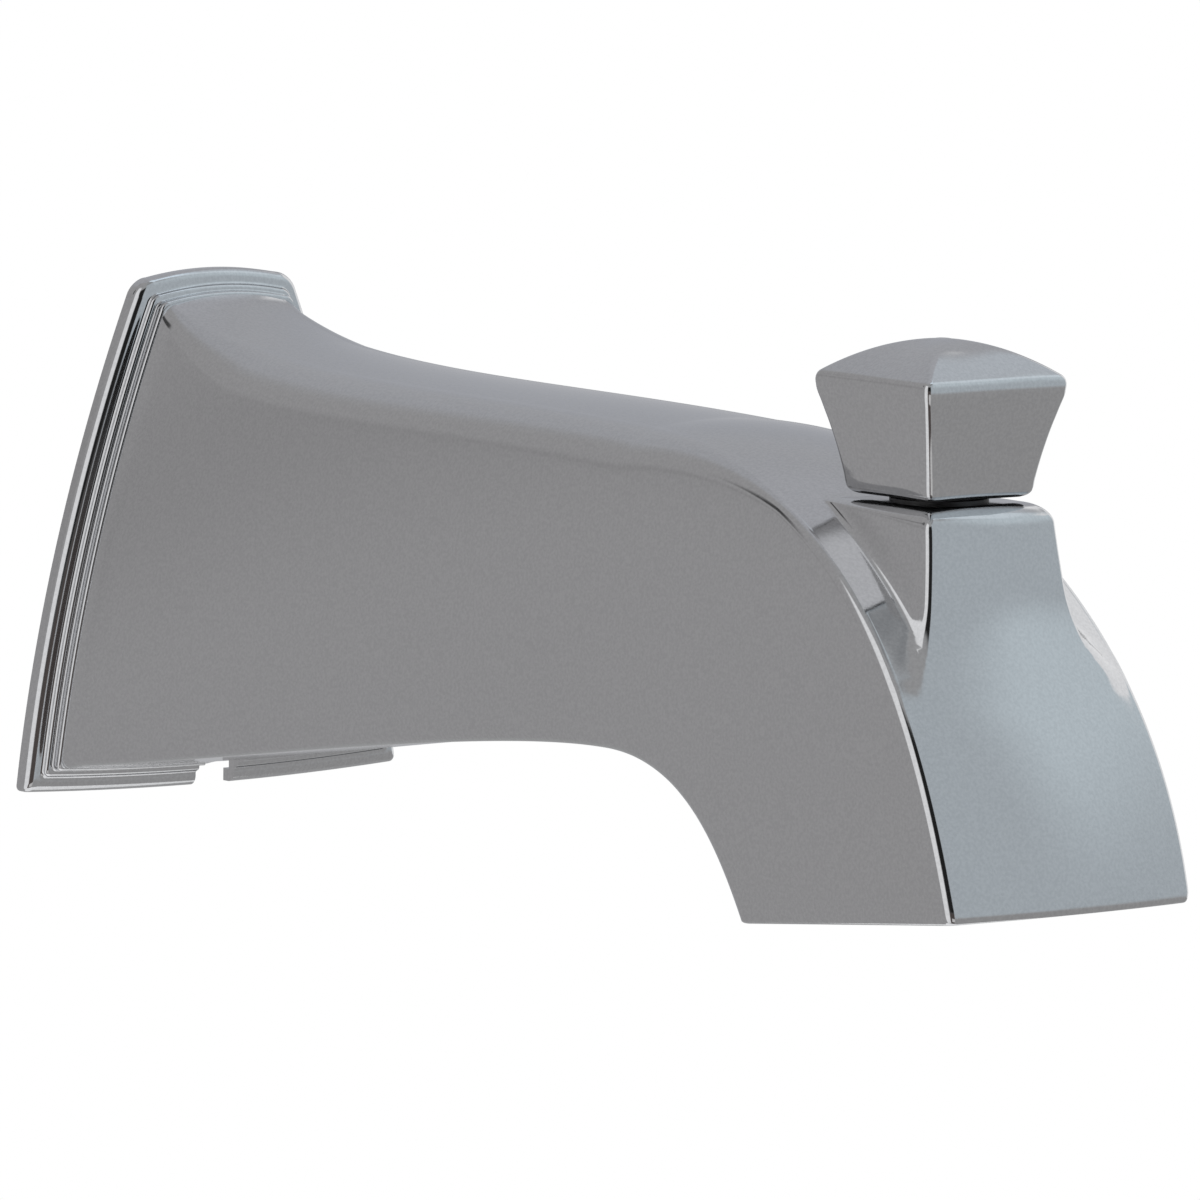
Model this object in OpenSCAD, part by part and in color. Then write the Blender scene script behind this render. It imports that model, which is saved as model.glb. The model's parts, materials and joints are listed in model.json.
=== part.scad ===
// Bath spout with a pull-up diverter, slip-fitted on a half inch copper supply tube.
// The origin is on the axis of the supply tube, in the plane of the finished wall.
// +X points out of the wall, +Z points up, and the spout is symmetrical about Y = 0.

/* [Spout body] */
// Distance from the wall to the lower front edge of the nose
projection = 172; // [155:1:190]
// Thickness of the cast skin
body_wall = 3; // [2.6:0.1:3.2]
// Height of the top line at the brow, above the inlet axis
brow_rise = 23.3; // [22:0.1:25]
// Depth of the crown of the underside arch, below the inlet axis
arch_drop = 14.2; // [13.4:0.1:15]
// Depth of the front edge of the outlet, below the inlet axis
nose_front_drop = 27.5; // [26.5:0.1:29]
// Depth of the rear edge of the outlet, below the inlet axis
nose_rear_drop = 32; // [31:0.1:33]
// Length of the outlet from its rear edge to its front edge
outlet_len = 39.4; // [38:0.1:40.8]
// Half width of the nose at the outlet
nose_half = 18.1; // [17:0.1:20]
// Half width of the nose at the level of the pedestal top
nose_top_half = 14.8; // [14:0.1:16]
// Sideways bulge of each nose flank
nose_side_bow = 1.2; // [0.8:0.1:1.6]
// Forward bulge of the front face
front_bow = 2; // [1:0.1:2.6]

/* [Wall flange] */
// Half width of the flange at its lower edge
flange_bottom_half = 28.9; // [27:0.1:31]
// Half width of the flange at its upper edge
flange_top_half = 11.6; // [11:0.1:13]
// Height of the upper corners above the inlet axis
flange_top = 33.4; // [32.5:0.1:35]
// Depth of the lower corners below the inlet axis
flange_bottom = 30.4; // [29.5:0.1:31.5]
// Outward bow of each side of the flange
flange_side_bow = 2.4; // [1.6:0.1:3]
// Thickness of the outer rim
rim_t = 2.4; // [2:0.1:3]
// Mean depth of the steps of the moulding, measured out of the wall
step_t = 1.1; // [0.8:0.1:1.4]
// Mean width of the steps of the moulding
step_in = 1.1; // [0.9:0.1:1.3]
// Width of the hex key notch in the lower rim
notch_w = 6; // [5:0.1:7]

/* [Pedestal] */
// Half width of the pedestal at its top
pedestal_half = 9.5; // [8.8:0.1:10]
// Height of the pedestal top above the inlet axis
pedestal_top = 18; // [17:0.1:19]
// Distance of the knob axis behind the front edge of the outlet
knob_setback = 25.5; // [24.5:0.1:26.5]
// Distance from the knob axis to the front of the pedestal, at its top
pedestal_front = 9.6; // [9:0.1:10]
// Forward lean of the front of the pedestal, down to its foot
pedestal_lean = 2.4; // [1.8:0.1:2.8]

/* [Knob] */
// Half width of the knob at its rim
knob_rim_half = 10.6; // [9:0.1:12]
// Half width of the knob at its foot
knob_foot_half = 7.9; // [6.6:0.1:8.2]
// Height from the foot of the knob to its rim
knob_rim_h = 13.9; // [12.5:0.1:16]
// Height of the domed top above the rim
knob_dome_h = 4.3; // [3:0.1:6]
// Radius of the four upright edges of the knob
knob_edge_r = 1; // [0.6:0.1:1.4]

/* [Diverter] */
// Travel of the knob
lift = 12.5; // [11.5:0.1:13]
// Diameter of the lift rod
rod_d = 4; // [3.6:0.1:4.4]
// Diameter of the water way through the valve seat
mouth_d = 10; // [9:0.1:10.6]
// Depth of the valve seat axis below the inlet axis
mouth_drop = 3; // [2.6:0.1:3.4]
// Running gap at every sliding face of the gate
slide_gap = 0.3; // [0.3:0.05:0.4]
// Radial running clearance of the lift rod in its bushing
rod_clear = 0.06; // [0.03:0.01:0.09]
// Thickness of the rubber face of the gate
seal_t = 1.7; // [1.4:0.1:2]
// Thickness of the gate plate
gate_t = 1.6; // [1.4:0.1:2]

/* [Inlet] */
// Outer diameter of the copper supply tube
supply_od = 15.875; // [15.8:0.005:15.95]
// Radial clearance of the socket on the supply tube
supply_clear = 0.16; // [0.1:0.01:0.25]
// Depth of the socket bore from its rear end to its stop
socket_depth = 36; // [34:0.5:40]
// Recess of the socket behind the wall plane
socket_recess = 0.8; // [0.6:0.1:1]
// Wall of the socket where the clamp collar grips it
socket_wall = 2.1; // [1.8:0.1:2.3]
// Cord diameter of the O-rings
ring_cord = 1.9; // [1.7:0.1:2]
// Diameter of the clamp screw
clamp_screw_d = 5; // [4.5:0.1:5.5]
// Diameter of the two carrier screws
carrier_screw_d = 3; // [2.6:0.1:3.4]
// Outer diameter of the water way tube
tube_od = 17; // [16.4:0.1:17.2]
// Wall of the water way tube
tube_wall = 2; // [1.6:0.1:2.4]

/* [Hidden] */
$fn = 64;
// Overrun of every cut past the face that it opens
over = 1;

// Moulding of the flange: where each step starts, as a share of the moulding's depth and width
moulding_steps = 3;
moulding_out_shares = [0, 0.36, 1];
moulding_in_shares = [0, 0.6, 0.84, 1];
moulding = moulding_steps * step_in;
body_x = rim_t + (moulding_steps - 1) * step_t;
flange_h = flange_top + flange_bottom;
side_slant = norm([flange_h, flange_bottom_half - flange_top_half]) / flange_h;
flange_top_bow = 0.9;
flange_bottom_bow = 0.8;
flange_corner_r = 2;
least_corner_r = 0.8;

// Recess for the gasket in the back of the flange
gasket_lip = 1.6;
gasket_w = 3;
gasket_t = 1;
gasket_recess = 0.2;
gasket_notch_margin = 0.75;
gasket_gap_w = notch_w + 2 * gasket_notch_margin;

// Long profile of the body: the top line and the underside line, each as two cubic curves
brow_share = 0.605;
arch_share = 0.617;
brow_x = projection * brow_share;
arch_x = projection * arch_share;
nose_rear_x = projection - outlet_len;
wall_top = flange_top - moulding;
wall_bottom = flange_bottom - moulding;
// Control points as shares of the length and of the height that each curve spans
top_a_shares = [[0, 1], [0.196, -0.16], [0.55, 0.25], [1, 0]];
top_b_shares = [[0, 0], [0.482, 0], [0.875, 0.321], [1, 1]];
under_a_shares = [[0, 1], [0.257, 0.76], [0.762, 0], [1, 0]];
under_b_shares = [[0, 0], [0.6, 0], [0.851, 0.578], [1, 1]];
top_a = control(top_a_shares, [body_x, brow_rise], [brow_x, wall_top]);
top_b = control(top_b_shares, [brow_x, brow_rise], [projection, -nose_front_drop]);
under_a = control(under_a_shares, [body_x, -arch_drop], [arch_x, -wall_bottom]);
under_b = control(under_b_shares, [arch_x, -arch_drop], [nose_rear_x, -nose_rear_drop]);
// The flanks settle to the width of the nose at this share of the projection
flank_end_share = 0.727;
flank_ease = 1.6;
// Corner radii and crown of the cross-section
wall_corner_r = 1.6;
top_corner_r = 5;
nose_corner_r = 1.2;
under_corner_r = 1.2;
top_crown = 0.6;
outlet_round = 0.6;
top_soften_share = 0.25;
nose_crisp_share = 0.35;
// Steps along the skin and the cavity
skin_steps_a = 14;
skin_steps_b = 16;
cavity_steps_a = 7;
cavity_steps_b = 9;
// Points on each half of a cross-section
n_floor = 3;
n_heel = 3;
n_flank = 6;
n_shoulder = 4;
n_roof = 4;

// Pedestal
rod_x = projection - knob_setback;
pedestal_rear = 13.4;
pedestal_round = 1.2;
pedestal_corner_r = 1.2;
pedestal_front_bow = 1;
pedestal_taper = 2;
taper_power = 1.5;
pedestal_flare = 3.2;
pedestal_sink = 1.5;
pedestal_steps = 7;
flare_power = 9;
pedestal_nose_shares = [0.7, 0.35];
pedestal_v_shares = [0, 0.01, 0.035, 0.07, 0.3, 0.55, 0.72, 0.83, 0.91, 1];

// Knob
knob_gap = slide_gap;
bushing_flange_t = 0.3;
knob_z = pedestal_top + bushing_flange_t + knob_gap;
knob_dish = 0.25;
knob_level_shares = [0, 0.02, 0.06, 0.17, 0.36, 0.58, 0.78, 0.92, 1];
knob_flare_shares = [-0.36, -0.14, 0, 0.09, 0.27, 0.52, 0.79, 0.97, 1];
knob_dome_steps = 7;
knob_rim_drop = 0.6;
knob_dome_shrink_share = 0.985;
knob_rim_ease_share = 0.3;
insert_d = 7;
insert_len = 9;

// Lift rod and its seals
rod_r = rod_d / 2;
bushing_wall = 1.6;
bushing_lip = 2.2;
bushing_r = rod_r + bushing_wall;
bushing_flange_r = bushing_r + bushing_lip;
rod_ring_cord = 1.4;
rod_ring_room = 0.2;
bushing_len = 5.2;
rod_hole_clear = 0.4;
rod_hole_r = rod_r + rod_hole_clear;
rod_thread_len = 8;
shoulder_w = 1;
shoulder_r = rod_r + shoulder_w;
shoulder_t = 1;
rod_tail = 1.2;
clip_t = 0.8;
clip_w = 1.6;
clip_groove = 0.4;

// Valve seat, gate and guides
mouth_r = mouth_d / 2;
seat_w = 1.5;
seat_t = 1.6;
seat_stand = 0.4;
gate_half = 7;
seal_margin = 0.5;
seal_r = gate_half - seal_margin;
seal_peg_r = 1.5;
seal_peg_share = 0.75;
rail_w = 2.2;
lip_t = 1.5;
lip_w = 2.3;
gate_boss_half = 3.6;
gate_boss_h = 8;
gate_boss_wall = 1;
// Gap between the gate plate and the clip on the rod
clip_gap = 0.3;
gate_x = rod_x - rod_r - clip_w - clip_gap;
seat_x = gate_x - gate_t - seal_t - slide_gap;
housing_face_x = seat_x - seat_stand;
gate_z = -mouth_drop - lift;
rail_front_x = gate_x + slide_gap + lip_t;
rail_top_z = gate_z + lift + gate_half + slide_gap;
rail_bottom_z = gate_z - gate_half - 2 * slide_gap;
stop_h = 1.2;

// Water way
tube_r = tube_od / 2;
tube_bore_r = tube_r - tube_wall;
joint_wall = 3.5;
joint_len = 10;
stop_t = 4;
stop_r = tube_bore_r;
ring_gap = 0.1;
housing_len = 29;
housing_half = gate_half + slide_gap + rail_w;
housing_x = housing_face_x - housing_len;
housing_top = tube_r;
housing_wall = 2;
housing_sleeve = 8;
housing_sleeve_wall = 1.9;
housing_seat_margin = 1;
housing_floor = mouth_drop + mouth_r + seat_w + housing_seat_margin;

// Inlet socket, clamp collar and carrier plate
bore_r = supply_od / 2 + supply_clear;
neck_r = bore_r + socket_wall;
barrel_r = tube_r + joint_wall;
collar_x = 2;
collar_t = 8.4;
collar_wall = 3.4;
collar_pad_half = 4.5;
collar_pad_drop = 17;
collar_slit = 2;
clamp_x = collar_x + collar_t / 2;
clamp_tip_gap = 0.2;
clamp_hole_clear = 0.3;
clamp_hex_af = 2.5;
clamp_hex_depth = 2.5;
flange_gap = 3;
flange_lip = 1.2;
flange_x = collar_x + collar_t + flange_gap;
flange_t = 2.5;
flange_r = barrel_r + flange_lip;
carrier_x = flange_x + flange_t;
carrier_t = 2.5;
// Height at which the round plate comes nearest to the flanks, and its gap there
carrier_side_z = 4.5;
carrier_side_gap = 0.5;
carrier_r = norm([
    flank_half(carrier_x + carrier_t, carrier_side_z) - body_wall - carrier_side_gap, carrier_side_z,
]);
ear_z = -12;
ear_wall = 1.9;
ear_r = carrier_screw_d / 2 + ear_wall;
// Gap between an ear of the plate and the inside of the flank
ear_gap = 0.28;
ear_y = flank_half(carrier_x + carrier_t, ear_z) - body_wall - ear_r - ear_gap;
screw_head_w = 1.2;
screw_head_r = carrier_screw_d / 2 + screw_head_w;
screw_head_t = 2;
screw_len = 14;
screw_slot_w = 0.8;
screw_slot_share = 0.5;
boss_len = 20;
boss_web_half = 1.2;
socket_clip_t = 1.2;
socket_clip_reach = 1.6;
socket_clip_groove = 0.6;
socket_clip_gap = 6;
ring_inset = 22;
ring_pitch = 6;
ring_rear_x = socket_recess + ring_inset;
ring_front_x = ring_rear_x + ring_pitch;
// Height that a relaxed socket ring stands proud of the bore
ring_proud = 0.1;
ring_inner_r = bore_r - ring_proud;
socket_stop_x = socket_recess + socket_depth;
tube_x = socket_stop_x + stop_t;
socket_end_x = tube_x + joint_len;
tube_end_x = housing_x + housing_sleeve;

// Cast ribs that carry the water way
floor_rib_back = 10;
floor_rib_x = arch_x - floor_rib_back;
floor_rib_t = 3;
floor_rib_half = 5;
floor_rib_sink = 1.5;
side_rib_back = 12;
side_rib_x = housing_face_x - side_rib_back;
side_rib_t = 3;
side_rib_low = -8;
side_rib_high = 6;
side_rib_sink = 1.5;

// Blend between two values
function lerp(a, b, t) = a + (b - a) * t;

// Value held between 0 and 1
function unit(t) = max(0, min(1, t));

// Control points placed by shares between two corners, both [x, z]
function control(shares, low, high) = [
    for (s = shares) [lerp(low.x, high.x, s.x), lerp(low[1], high[1], s[1])],
];

// Point on a cubic curve
function cubic(p, t) =
    pow(1 - t, 3) * p[0] + 3 * pow(1 - t, 2) * t * p[1]
    + 3 * (1 - t) * pow(t, 2) * p[2] + pow(t, 3) * p[3];

// Parameter at which a cubic curve that runs forward passes x
function cubic_at(p, x, low = 0, high = 1, halvings = 24) =
    let (mid = (low + high) / 2)
    halvings == 0 ? mid
    : cubic(p, mid).x < x ? cubic_at(p, x, mid, high, halvings - 1)
    : cubic_at(p, x, low, mid, halvings - 1);

// Height of the front part of the top line at x
function brow_z(x) = cubic(top_b, cubic_at(top_b, x))[1];

// Height of the underside line at x, behind the arch
function under_z(x) = cubic(under_a, cubic_at(under_a, x))[1];

// Half width of the flange outline at height z, drawn in by d
function flange_half(z, d) =
    let (u = (flange_top - z) / flange_h)
    lerp(flange_top_half, flange_bottom_half, u)
    + 4 * flange_side_bow * u * (1 - u) - d * side_slant;

// Half width of the nose at height z
function nose_half_at(z) =
    let (u = (z + nose_front_drop) / (pedestal_top + nose_front_drop))
    lerp(nose_half, nose_top_half, u) + 4 * nose_side_bow * u * (1 - u);

// Half width of the body between its flanks
function flank_half(x, z) =
    let (t = unit((x - body_x) / (projection * flank_end_share - body_x)))
    lerp(flange_half(z, moulding), nose_half_at(z), 1 - pow(1 - t, flank_ease));

// Closed cross-section in the plane through the lines top and foot, both [x, z]
function section(top, foot, half, top_r, foot_r, crown, sag) =
    let (
        length = norm(top - foot),
        dir = (top - foot) / length,
        wide = function(h) half(foot.x + dir.x * h, foot.y + dir.y * h),
        floor_y = wide(0) - foot_r,
        roof_y = wide(length) - top_r,
        side = [
            for (i = [0 : n_floor - 1])
                [-sag * (1 - pow(i / n_floor, 2)), floor_y * i / n_floor],
            for (i = [0 : n_heel])
                let (a = 90 * i / n_heel, h = foot_r * (1 - cos(a)))
                [h, wide(h) - foot_r * (1 - sin(a))],
            for (i = [1 : n_flank - 1])
                let (h = lerp(foot_r, length - top_r, i / n_flank))
                [h, wide(h)],
            for (i = [0 : n_shoulder])
                let (a = 90 * i / n_shoulder, h = length - top_r * (1 - sin(a)))
                [h, wide(h) - top_r * (1 - cos(a))],
            for (i = [1 : n_roof])
                let (u = 1 - i / n_roof)
                [length + crown * (1 - u * u), roof_y * u],
        ],
        last = len(side) - 1,
        both = [
            for (i = [0 : last]) side[i],
            for (i = [last - 1 : -1 : 1]) [side[i].x, -side[i].y],
        ]
    )
    [for (p = both) [foot.x + dir.x * p.x, p.y, foot.y + dir.y * p.x]];

// Flange outline at distance x from the wall, drawn in by d
function flange_section(x, d) =
    section(
        [x, flange_top - d], [x, -flange_bottom + d],
        function(sx, sz) flange_half(sz, d),
        max(least_corner_r, flange_corner_r - d / 2), least_corner_r,
        flange_top_bow, flange_bottom_bow
    );

// Cross-section of the body drawn in by d, at parameter t of the rear or the front curves
function rear_section(t, d) =
    let (
        top = cubic(top_a, t),
        foot = cubic(under_a, t),
        dir = (top - foot) / norm(top - foot),
        soft = lerp(wall_corner_r, top_corner_r, unit(t / top_soften_share))
    )
    section(
        top - dir * d, foot + dir * d,
        function(sx, sz) flank_half(sx, sz) - d,
        max(least_corner_r, soft - d / 2), under_corner_r,
        lerp(flange_top_bow, top_crown, unit(t / top_soften_share)),
        lerp(flange_bottom_bow, 0, t)
    );
function front_section(t, d) =
    let (
        top = cubic(top_b, t),
        foot = cubic(under_b, t),
        dir = (top - foot) / norm(top - foot),
        soft = lerp(top_corner_r, nose_corner_r, unit(t / nose_crisp_share))
    )
    section(
        top - dir * d, foot + dir * d,
        function(sx, sz) flank_half(sx, sz) - d,
        max(least_corner_r, soft - d / 2), under_corner_r,
        lerp(top_crown, front_bow, unit(t / nose_crisp_share)), 0
    );

// Triangles that join each ring to the next one
function ring_faces(rings, count, closed) = [
    for (r = [0 : rings - (closed ? 1 : 2)], i = [0 : count - 1])
        let (
            a = r * count + i,
            b = r * count + (i + 1) % count,
            c = ((r + 1) % rings) * count + i,
            d = ((r + 1) % rings) * count + (i + 1) % count
        )
        each [[a, c, b], [b, c, d]],
];

// Skin of a casting that is open at both ends, from rings that run out and back
module open_shell(rings) {
    count = len(rings[0]);
    polyhedron(
        points = [for (ring = rings) each ring],
        faces = ring_faces(len(rings), count, true),
        convexity = 10
    );
}

// Solid through rings whose points pair up across Y = 0, first with last
module paired_loft(rings) {
    count = len(rings[0]);
    last = (len(rings) - 1) * count;
    polyhedron(
        points = [for (ring = rings) each ring],
        faces = [
            each ring_faces(len(rings), count, false),
            for (k = [0 : count / 2 - 2])
                each [
                    [k, k + 1, count - 2 - k],
                    [k, count - 2 - k, count - 1 - k],
                    [last + k, last + count - 2 - k, last + k + 1],
                    [last + k, last + count - 1 - k, last + count - 2 - k],
                ],
        ],
        convexity = 6
    );
}

// Cylinder along +X from x
module x_rod(x, length, r) {
    translate([x, 0, 0])
        rotate([0, 90, 0])
            cylinder(h = length, r = r);
}

// O-ring round the X axis
module x_ring(x, inner_r, cord) {
    translate([x, 0, 0])
        rotate([0, 90, 0])
            rotate_extrude()
                translate([inner_r + cord / 2, 0])
                    circle(d = cord, $fn = 24);
}

// Cast skin with its moulded flange
module skin() {
    outer = [
        flange_section(0, 0),
        for (i = [0 : moulding_steps - 1])
            let (x = lerp(rim_t, body_x, moulding_out_shares[i]))
            each [
                flange_section(x, moulding * moulding_in_shares[i]),
                if (i < moulding_steps - 1) flange_section(x, moulding * moulding_in_shares[i + 1]),
            ],
        for (i = [0 : skin_steps_a - 1]) rear_section(i / skin_steps_a, 0),
        for (i = [0 : skin_steps_b - 1]) front_section(i / skin_steps_b, 0),
        front_section(1 - outlet_round / outlet_len, 0),
        front_section(1, outlet_round),
    ];
    inner = [
        for (i = [cavity_steps_b : -1 : 0]) front_section(i / cavity_steps_b, body_wall),
        for (i = [cavity_steps_a - 1 : -1 : 0]) rear_section(i / cavity_steps_a, body_wall),
        flange_section(gasket_recess + gasket_t, gasket_lip + gasket_w),
        flange_section(gasket_recess + gasket_t, gasket_lip),
        flange_section(0, gasket_lip),
    ];
    open_shell([each outer, each inner]);
}

// Outline of the pedestal at share v of its depth, drawn in by e
function pedestal_ring(v, e) =
    let (
        rear = rod_x - pedestal_rear,
        front = rod_x + pedestal_front + pedestal_lean * v - pedestal_corner_r,
        full = pedestal_top - brow_z(front),
        spine = [for (i = [0 : pedestal_steps]) lerp(rear, front - e, i / pedestal_steps)],
        z = function(x) lerp(pedestal_top, min(brow_z(x) - pedestal_sink, pedestal_top - pedestal_round), v),
        y = function(x)
            pedestal_half - e + pedestal_taper * pow(v, taper_power)
            + pedestal_flare * pow(v, flare_power) * unit((pedestal_top - brow_z(x)) / full),
        face_y = y(front) - pedestal_corner_r,
        half = [
            for (x = spine) [x, y(x), z(x)],
            for (a = [30, 60, 90])
                [front - e + pedestal_corner_r * sin(a), face_y + pedestal_corner_r * cos(a), z(front)],
            for (u = pedestal_nose_shares)
                [front - e + pedestal_corner_r + pedestal_front_bow * (1 - u * u), face_y * u, z(front)],
        ]
    )
    [each half, for (i = [len(half) - 1 : -1 : 0]) [half[i].x, -half[i].y, half[i].z]];

// Raised block under the knob, whose sides run out into the shoulders of the nose
module pedestal() {
    paired_loft([
        for (v = pedestal_v_shares)
            pedestal_ring(v, pedestal_round * pow(unit(1 - v / pedestal_v_shares[3]), 2))
    ]);
}

// Bosses for the carrier screws, each with a web to the flank
module carrier_bosses() {
    reach = flank_half(carrier_x + carrier_t + boss_len, ear_z) - body_wall / 2 - ear_y;
    for (side = [-1, 1])
        translate([carrier_x + carrier_t, side * ear_y, ear_z]) {
            rotate([0, 90, 0])
                cylinder(h = boss_len, r = ear_r);
            translate([0, side < 0 ? -reach : 0, -boss_web_half])
                cube([boss_len, reach, 2 * boss_web_half]);
        }
}

// Ribs that carry the tube and steady the valve housing
module carrier_ribs() {
    rib_foot = under_z(floor_rib_x) + floor_rib_sink;
    translate([floor_rib_x, -floor_rib_half, rib_foot])
        cube([floor_rib_t, 2 * floor_rib_half, -tube_r - rib_foot]);
    for (side = [-1, 1]) {
        reach = flank_half(side_rib_x, side_rib_high) - side_rib_sink - housing_half;
        translate([side_rib_x, side < 0 ? -housing_half - reach : housing_half, side_rib_low])
            cube([side_rib_t, reach, side_rib_high - side_rib_low]);
    }
}

module spout_body() {
    bore_floor = knob_z - knob_gap - bushing_flange_t - bushing_len - rod_ring_cord - rod_ring_room;
    color("silver")
        difference() {
            union() {
                skin();
                pedestal();
                carrier_bosses();
                carrier_ribs();
            }
            translate([-over, -notch_w / 2, -flange_bottom - flange_bottom_bow - over])
                cube([
                    clamp_x + notch_w / 2 + over, notch_w,
                    flange_bottom + flange_bottom_bow + over - collar_pad_drop - body_wall,
                ]);
            translate([rod_x, 0, bore_floor])
                cylinder(h = pedestal_top - bore_floor + over, r = bushing_r);
            translate([rod_x, 0, -mouth_drop])
                cylinder(h = pedestal_top + mouth_drop, r = rod_hole_r);
            for (side = [-1, 1])
                translate([carrier_x + carrier_t - over, side * ear_y, ear_z])
                    rotate([0, 90, 0])
                        cylinder(h = screw_len - carrier_t + 2 * over, r = carrier_screw_d / 2);
        }
}

// Foam gasket in the recess at the back of the flange, open at the notch
module wall_gasket() {
    flat = function(d) [for (p = flange_section(0, d)) [p.z, p.y]];
    color("dimgray")
        difference() {
            translate([gasket_recess + gasket_t, 0, 0])
                rotate([0, -90, 0])
                    linear_extrude(height = gasket_t)
                        difference() {
                            polygon(flat(gasket_lip));
                            polygon(flat(gasket_lip + gasket_w));
                        }
            translate([-over, -gasket_gap_w / 2, -flange_bottom - over])
                cube([gasket_t + gasket_recess + 2 * over, gasket_gap_w, flange_bottom / 2]);
        }
}

// Brass socket that slips over the supply tube
module inlet_socket() {
    color("darkgoldenrod")
        difference() {
            union() {
                x_rod(socket_recess, flange_x - socket_recess, neck_r);
                x_rod(flange_x, flange_t, flange_r);
                x_rod(carrier_x, socket_end_x - carrier_x, barrel_r);
            }
            x_rod(socket_recess - over, socket_depth + over, bore_r);
            x_rod(socket_stop_x - over, stop_t + 2 * over, stop_r);
            x_rod(tube_x, joint_len + over, tube_r);
            for (x = [ring_rear_x, ring_front_x])
                x_rod(x - ring_cord / 2 - ring_gap, ring_cord + 2 * ring_gap, ring_inner_r + ring_cord);
            x_rod(
                tube_x + joint_len / 2 - ring_cord / 2 - ring_gap,
                ring_cord + 2 * ring_gap, tube_r + ring_cord
            );
            translate([clamp_x, 0, -neck_r - over])
                cylinder(h = neck_r + over, r = clamp_screw_d / 2 + clamp_hole_clear);
            difference() {
                x_rod(carrier_x + carrier_t, socket_clip_t, barrel_r + over);
                x_rod(carrier_x + carrier_t - over, socket_clip_t + 2 * over, barrel_r - socket_clip_groove);
            }
        }
}

module socket_ring_rear() {
    color("black")
        x_ring(ring_rear_x, ring_inner_r, ring_cord);
}

module socket_ring_front() {
    color("black")
        x_ring(ring_front_x, ring_inner_r, ring_cord);
}

// Open ring that keeps the socket in the carrier plate
module socket_clip() {
    color("gray")
        difference() {
            x_rod(carrier_x + carrier_t, socket_clip_t, barrel_r + socket_clip_reach);
            x_rod(carrier_x + carrier_t - over, socket_clip_t + 2 * over, barrel_r - socket_clip_groove);
            translate([carrier_x, -socket_clip_gap / 2, 0])
                cube([carrier_t + socket_clip_t + over, socket_clip_gap, barrel_r + socket_clip_reach + over]);
        }
}

// Split collar that the clamp screw draws against the supply tube
module clamp_collar() {
    color("goldenrod")
        difference() {
            union() {
                x_rod(collar_x, collar_t, neck_r + collar_wall);
                translate([collar_x, -collar_pad_half, -collar_pad_drop])
                    cube([collar_t, 2 * collar_pad_half, collar_pad_drop - neck_r]);
            }
            x_rod(collar_x - over, collar_t + 2 * over, neck_r);
            translate([collar_x - over, -collar_slit / 2, 0])
                cube([collar_t + 2 * over, collar_slit, neck_r + collar_wall + over]);
            translate([clamp_x, 0, -collar_pad_drop - over])
                cylinder(h = collar_pad_drop + over - neck_r / 2, r = clamp_screw_d / 2);
        }
}

// Set screw with a hex socket that faces the notch
module clamp_screw() {
    tip_z = -bore_r - clamp_tip_gap;
    color("dimgray")
        difference() {
            translate([clamp_x, 0, -collar_pad_drop])
                cylinder(h = collar_pad_drop + tip_z, r = clamp_screw_d / 2);
            translate([clamp_x, 0, -collar_pad_drop - over])
                cylinder(h = clamp_hex_depth + over, d = clamp_hex_af / cos(30), $fn = 6);
        }
}

// Plate that holds the socket and is screwed to the two bosses
module carrier_plate() {
    color("lightgray")
        difference() {
            union() {
                x_rod(carrier_x, carrier_t, carrier_r);
                for (side = [-1, 1]) {
                    translate([carrier_x, side * ear_y, ear_z])
                        rotate([0, 90, 0])
                            cylinder(h = carrier_t, r = ear_r);
                    translate([carrier_x, side < 0 ? -ear_y : 0, ear_z - ear_r])
                        cube([carrier_t, ear_y, 2 * ear_r]);
                }
            }
            x_rod(carrier_x - over, carrier_t + 2 * over, barrel_r);
            for (side = [-1, 1])
                translate([carrier_x - over, side * ear_y, ear_z])
                    rotate([0, 90, 0])
                        cylinder(h = carrier_t + 2 * over, r = carrier_screw_d / 2);
        }
}

// Screw with a slotted head, from behind the plate into a boss
module carrier_screw(side) {
    color("gainsboro")
        translate([carrier_x, side * ear_y, ear_z])
            difference() {
                union() {
                    x_rod(-screw_head_t, screw_head_t, screw_head_r);
                    x_rod(-over, screw_len + over, carrier_screw_d / 2);
                }
                translate([-screw_head_t - over, -screw_head_r - over, -screw_slot_w / 2])
                    cube([
                        screw_head_t * screw_slot_share + over,
                        2 * (screw_head_r + over), screw_slot_w,
                    ]);
            }
}

module carrier_screw_left() {
    carrier_screw(-1);
}

module carrier_screw_right() {
    carrier_screw(1);
}

// Tube from the inlet socket to the valve housing
module waterway_tube() {
    color("burlywood")
        difference() {
            x_rod(tube_x, tube_end_x - tube_x, tube_r);
            x_rod(tube_x - over, tube_end_x - tube_x + 2 * over, tube_bore_r);
        }
}

module tube_ring_rear() {
    color("black")
        x_ring(tube_x + joint_len / 2, tube_r, ring_cord);
}

module tube_ring_front() {
    color("black")
        x_ring(housing_x + housing_sleeve / 2, tube_r, rod_ring_cord);
}

// Rail, drawn for one side, in which an edge of the gate slides
module gate_rail() {
    rail_h = rail_top_z - rail_bottom_z;
    translate([housing_face_x, gate_half + slide_gap, rail_bottom_z])
        cube([rail_front_x - housing_face_x, rail_w, rail_h]);
    translate([rail_front_x - lip_t, gate_half + slide_gap - lip_w, rail_bottom_z])
        cube([lip_t, lip_w, rail_h]);
}

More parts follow.
